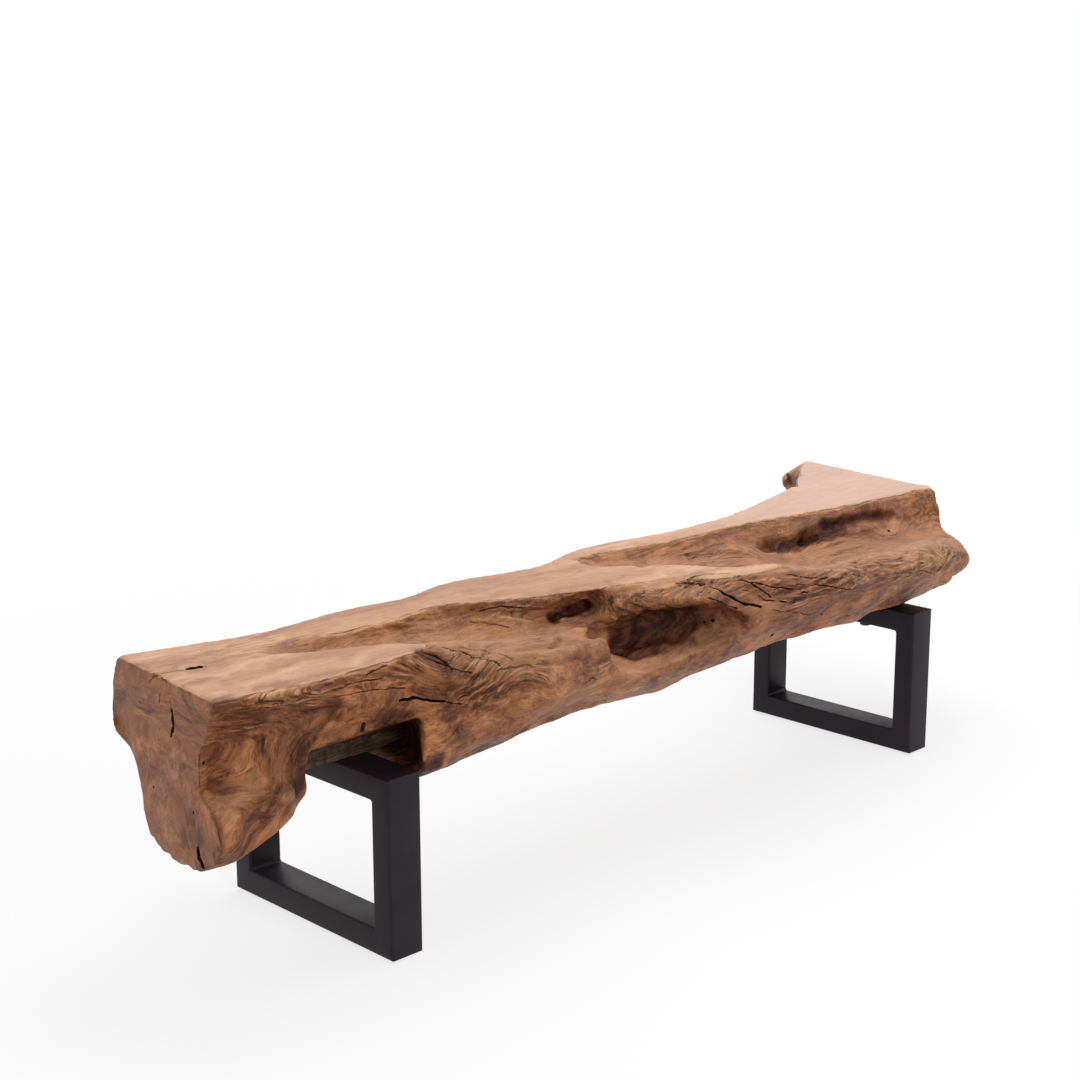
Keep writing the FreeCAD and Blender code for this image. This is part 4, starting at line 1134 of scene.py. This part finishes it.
class LogSettings(bpy.types.PropertyGroup):
    mesh_size: length_setting("Mesh size", "Side of a face of the log's mesh", 2.6 * MM)
    relief: number_setting("Relief", "How deep the fibres stand", 1.0)
    seat_colour: colour_setting("Seat", "Sanded seat", (0.715, 0.530, 0.400))
    seat_pale: colour_setting("Seat, pale", "Pale grain of the seat", (0.790, 0.620, 0.490))
    seat_dark: colour_setting("Seat, dark", "Dark grain of the seat", (0.560, 0.385, 0.270))
    # A painted sheen on the right end of the seat.
    seat_painted_sheen: colour_setting("Seat, pink", "Bleached right end of the seat", (0.730, 0.608, 0.545))
    burl_colour: colour_setting("Burl", "Figured wood of the ends and lower side", (0.545, 0.340, 0.220))
    burl_warm: colour_setting("Burl, warm", "Warm figure", (0.690, 0.440, 0.270))
    burl_pale: colour_setting("Burl, pale", "Pale figure", (0.800, 0.560, 0.370))
    burl_dark: colour_setting("Burl, dark", "Dark figure", (0.270, 0.150, 0.098))
    edge_colour: colour_setting("Live edge", "Fibrous wood", (0.460, 0.275, 0.160))
    # Painted shade in the grooves of the relief, with the dark fibres.
    edge_dark: colour_setting("Live edge, dark", "Grooves between the fibres", (0.150, 0.080, 0.048))
    # Worn crests of the fibres, with the painted highlight on the crests of the relief.
    edge_pale: colour_setting("Live edge, pale", "Worn crests of the fibres", (0.830, 0.630, 0.470))
    # Worn fibres along the seat's edge, also the colour of the painted highlights of the pale marks.
    worn_rim_and_highlight_colour: colour_setting("Rim", "Worn fibres along the edge of the seat", (0.825, 0.625, 0.450))
    sawn_colour: colour_setting("Sawn", "Calm wood of the sawn ends", (0.590, 0.360, 0.215))
    pink_colour: colour_setting("Pink", "Bleached wood of the middle and right", (0.590, 0.440, 0.365))
    dull_colour: colour_setting("Dull", "Weathered grey-brown patches", (0.430, 0.285, 0.205))
    # Painted shade at the edges of the hollows, also the colour of the darker stains.
    shade_colour: colour_setting("Shade", "Stained edge of the hollows", (0.345, 0.175, 0.092))
    # Painted shade of the hollows, also taken by the darkest painted shade marks.
    hollow_shade_colour: colour_setting("Hollows", "Depth of the hollows", (0.140, 0.038, 0.015))
    # Painted shade inside cracks, pits and fine splits.
    crack_shade_colour: colour_setting("Cracks", "Inside of cracks and pits", (0.040, 0.022, 0.016))
    stick_colour: colour_setting("Batten", "Packer stick", (0.320, 0.235, 0.170))
    stick_pale: colour_setting("Batten, pale", "Pale fibres of the packer stick", (0.520, 0.400, 0.290))
    stick_dark: colour_setting("Batten, dark", "Stained bands of the packer stick", (0.090, 0.060, 0.044))


class FrameSettings(bpy.types.PropertyGroup):
    edge_radius: length_setting("Edge radius", "Rounding of the box section's edges", 1.4 * MM)
    coat_colour: colour_setting("Coat", "Powder coat", (0.125, 0.095, 0.118))
    coat_pale: colour_setting("Coat, pale", "Rubbed powder coat", (0.155, 0.127, 0.149))
    zinc_colour: colour_setting("Zinc", "Zinc plate", (0.200, 0.190, 0.200))
    zinc_dull: colour_setting("Zinc, dull", "Dulled zinc plate", (0.140, 0.132, 0.140))
    disc_colour: colour_setting("Disc", "Glide disc", (0.110, 0.110, 0.112))
    disc_dusty: colour_setting("Disc, dusty", "Scuffed glide disc", (0.230, 0.225, 0.220))
    thread_pitch: length_setting("Thread pitch", "Thread of a glide's stem", 1.25 * MM)


class StageSettings(bpy.types.PropertyGroup):
    floor_colour: colour_setting("Floor", "Pale studio floor", (0.93, 0.93, 0.935))
    lamp_power: number_setting("Lamp power", "Overhead lamp in watts", 95.0)
    sky_light: number_setting("Sky light", "Light of the white surround", 0.44)


# Operators

class BENCH_OT_log(bpy.types.Operator):
    """Cover the log and give it its relief and wood"""

    bl_idname = "bench.log"
    bl_label = "Live-edge log"

    def execute(self, context):
        sizes = context.scene.bench_log
        piece = remeshed(welded_copy("log", "live_edge_log"), sizes.mesh_size * 2)
        log_body(piece)
        piece.modifiers.new("finer", "SUBSURF").levels = 1
        applied(piece)
        tree = tree_of(piece.data)
        if not seen_on(tree, [start for start, _, _ in PULLS]):
            raise RuntimeError("The photograph's camera doesn't see the log, so nothing can be placed on it")
        finer_at_cracks(piece, tree)
        log_relief(piece, tree, sizes.relief)
        piece.data.shade_smooth()
        ride_and_slot(piece, log_wood(sizes), "log", "bench")
        return {"FINISHED"}


class BENCH_OT_stick(bpy.types.Operator):
    """Carve the weathered packer stick over the left rail"""

    bl_idname = "bench.stick"
    bl_label = "Packer stick"

    def execute(self, context):
        piece = remeshed(welded_copy("packer_stick", "weathered_batten"), 1.6 * MM)
        batten_forms(piece)
        ride_and_slot(piece, weathered(context.scene.bench_log), "packer_stick", "bench")
        return {"FINISHED"}


TUBES = ("front_post", "bottom_rail", "rear_post", "top_rail")


class BENCH_OT_frames(bpy.types.Operator):
    """Round the edges of the eight tubes and the weld beads and coat them black"""

    bl_idname = "bench.frames"
    bl_label = "Frames"

    def execute(self, context):
        sizes = context.scene.bench_frame
        coat = black_coat(sizes)
        for side, part in itertools.product(("left", "right"), TUBES):
            node = f"{side}_{part}"
            piece = joined_flats(welded_copy(node, f"{node}_tube"))
            rounded(piece, sizes.edge_radius, lengthways=True)
            ride_and_slot(piece, coat, node, "bench")
        beads = rounded(joined_flats(welded_copy("weld_beads", "weld_fillets")), 0.4 * MM, 2)
        ride_and_slot(beads, coat, "weld_beads", "bench")
        return {"FINISHED"}


class BENCH_OT_fixings(bpy.types.Operator):
    """Dress the coach screws, washers and rivet nuts"""

    bl_idname = "bench.fixings"
    bl_label = "Fixings"

    def execute(self, context):
        metal = zinc(context.scene.bench_frame)
        for node, width in (("coach_screws", 0.8), ("washers", 0.4), ("rivet_nuts", 0.3)):
            piece = rounded(joined_flats(welded_copy(node, f"{node}_bright")), width * MM, 2)
            ride_and_slot(piece, metal, node, "bench")
        return {"FINISHED"}


def upright_sizes(node):
    """Radius, height and the middle of the foot of an upright round solid."""
    low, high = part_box(node)
    return (high.x - low.x) / 2, high.z - low.z, ((low.x + high.x) / 2, (low.y + high.y) / 2, low.z)


class BENCH_OT_glides(bpy.types.Operator):
    """Turn the four glide discs and thread their stems"""

    bl_idname = "bench.glides"
    bl_label = "Glides"

    def execute(self, context):
        sizes = context.scene.bench_frame
        metal, plastic = zinc(sizes), moulded(sizes)
        for end, side in itertools.product(("front", "rear"), ("left", "right")):
            body = f"{end}_{side}_glide"
            radius, thick, centre = upright_sizes(f"{body}_disc")
            lip = thick * 0.3
            outline = (
                (0, 0), (radius - 2 * lip, 0), (radius - lip, lip * 0.15), (radius - lip * 0.3, lip * 0.6),
                (radius, lip * 1.3), (radius, thick - lip * 0.8), (radius - lip * 0.25, thick - lip * 0.25),
                (radius - lip * 0.8, thick), (radius * 0.62, thick), (radius * 0.58, thick * 0.93),
                (radius * 0.34, thick * 0.93), (radius * 0.30, thick), (0, thick),
            )
            disc = lathed(f"{body}_foot", outline, 64, centre)
            shade(disc, 40)
            ride_and_slot(disc, plastic, f"{body}_disc", body)
            radius, length, centre = upright_sizes(f"{body}_stem")
            stem = threaded(f"{body}_thread", radius, length, sizes.thread_pitch, centre)
            shade(stem, 30)
            ride_and_slot(stem, metal, f"{body}_stem", body)
        return {"FINISHED"}


def area_lamp(name, place, aim, size, power):
    light = bpy.data.lights.new(name, "AREA")
    light.shape = "RECTANGLE"
    light.size, light.size_y = size
    light.energy = power
    lamp = new_piece(name, light)
    lamp.location = place
    lamp.rotation_euler = (Vector(aim) - Vector(place)).to_track_quat("-Z", "Y").to_euler()
    return lamp


class BENCH_OT_stage(bpy.types.Operator):
    """Set the pale floor, the soft lamps, the white surround and the camera"""

    bl_idname = "bench.stage"
    bl_label = "Studio"

    def execute(self, context):
        sizes, scene = context.scene.bench_stage, context.scene
        bpy.ops.mesh.primitive_grid_add(x_subdivisions=8, y_subdivisions=8, size=60)
        floor = context.object
        floor.name = "studio_floor"
        make = Recipe("pale floor")
        lit = make.add("BsdfDiffuse", Color=tuple(sizes.floor_colour))
        white = make.add("Emission", Color=WHITE, Strength=1.0)
        far = make.add("VectorMath", {"operation": "LENGTH"})
        make.feed(far.inputs[0], make.place)
        mix = make.add("MixShader")
        whitened = make.level(far.outputs["Value"], 0.9, 2.2, 0.76)
        make.feed(mix.inputs[0], make.times(make.looked_at(), whitened))
        make.feed(mix.inputs[1], lit.outputs[0])
        make.feed(mix.inputs[2], white.outputs[0])
        make.show(mix)
        floor.data.materials.append(make.material)

        scene.world = bpy.data.worlds.new("white surround")
        sky = Nodes(scene.world, "OutputWorld")
        strength = sky.level(sky.looked_at(), 0.0, 1.0, sizes.sky_light)
        sky.show(sky.add("Background", Color=WHITE, Strength=strength))

        area_lamp("overhead_lamp", (0.9, 0.2, 3.0), (0.2, 0, 0.4), (3.6, 2.6), sizes.lamp_power)
        area_lamp("front_lamp", (-1.8, -3.2, 2.2), (0, 0, 0.35), (2.4, 1.4), sizes.lamp_power * 0.5)

        camera = bpy.data.cameras.new("photo_camera")
        camera.lens = CAMERA_LENS
        camera.sensor_width = SENSOR
        viewer = new_piece("photo_camera", camera)
        viewer.matrix_world = Matrix.Translation(CAMERA_PLACE) @ camera_turn().to_4x4()
        scene.camera = viewer
        scene.view_settings.view_transform = "Standard"
        return {"FINISHED"}


class BENCH_PT_panel(bpy.types.Panel):
    """The bench's pieces, in the order that they are made"""

    bl_idname = "BENCH_PT_panel"
    bl_label = "Rustic log bench"
    bl_space_type = "VIEW_3D"
    bl_region_type = "UI"
    bl_category = "Log bench"

    def draw(self, context):
        for group in ("bench_log", "bench_frame", "bench_stage"):
            settings = getattr(context.scene, group)
            box = self.layout.box()
            for name in settings.__annotations__:
                box.prop(settings, name)
        for maker in MAKERS:
            self.layout.operator(maker.bl_idname)


GROUPS = {"bench_log": LogSettings, "bench_frame": FrameSettings, "bench_stage": StageSettings}
MAKERS = (BENCH_OT_stage, BENCH_OT_log, BENCH_OT_stick, BENCH_OT_frames, BENCH_OT_fixings, BENCH_OT_glides)
CLASSES = (*GROUPS.values(), *MAKERS, BENCH_PT_panel)


def register():
    for made in CLASSES:
        bpy.utils.register_class(made)
    for name, group in GROUPS.items():
        setattr(bpy.types.Scene, name, bpy.props.PointerProperty(type=group))


def unregister():
    for name in GROUPS:
        delattr(bpy.types.Scene, name)
    for made in reversed(CLASSES):
        bpy.utils.unregister_class(made)


def main():
    """Make the bench piece by piece."""
    register()
    bpy.ops.bench.stage()
    bpy.ops.bench.log()
    bpy.ops.bench.stick()
    bpy.ops.bench.frames()
    bpy.ops.bench.fixings()
    bpy.ops.bench.glides()


if __name__ == "__main__":
    main()
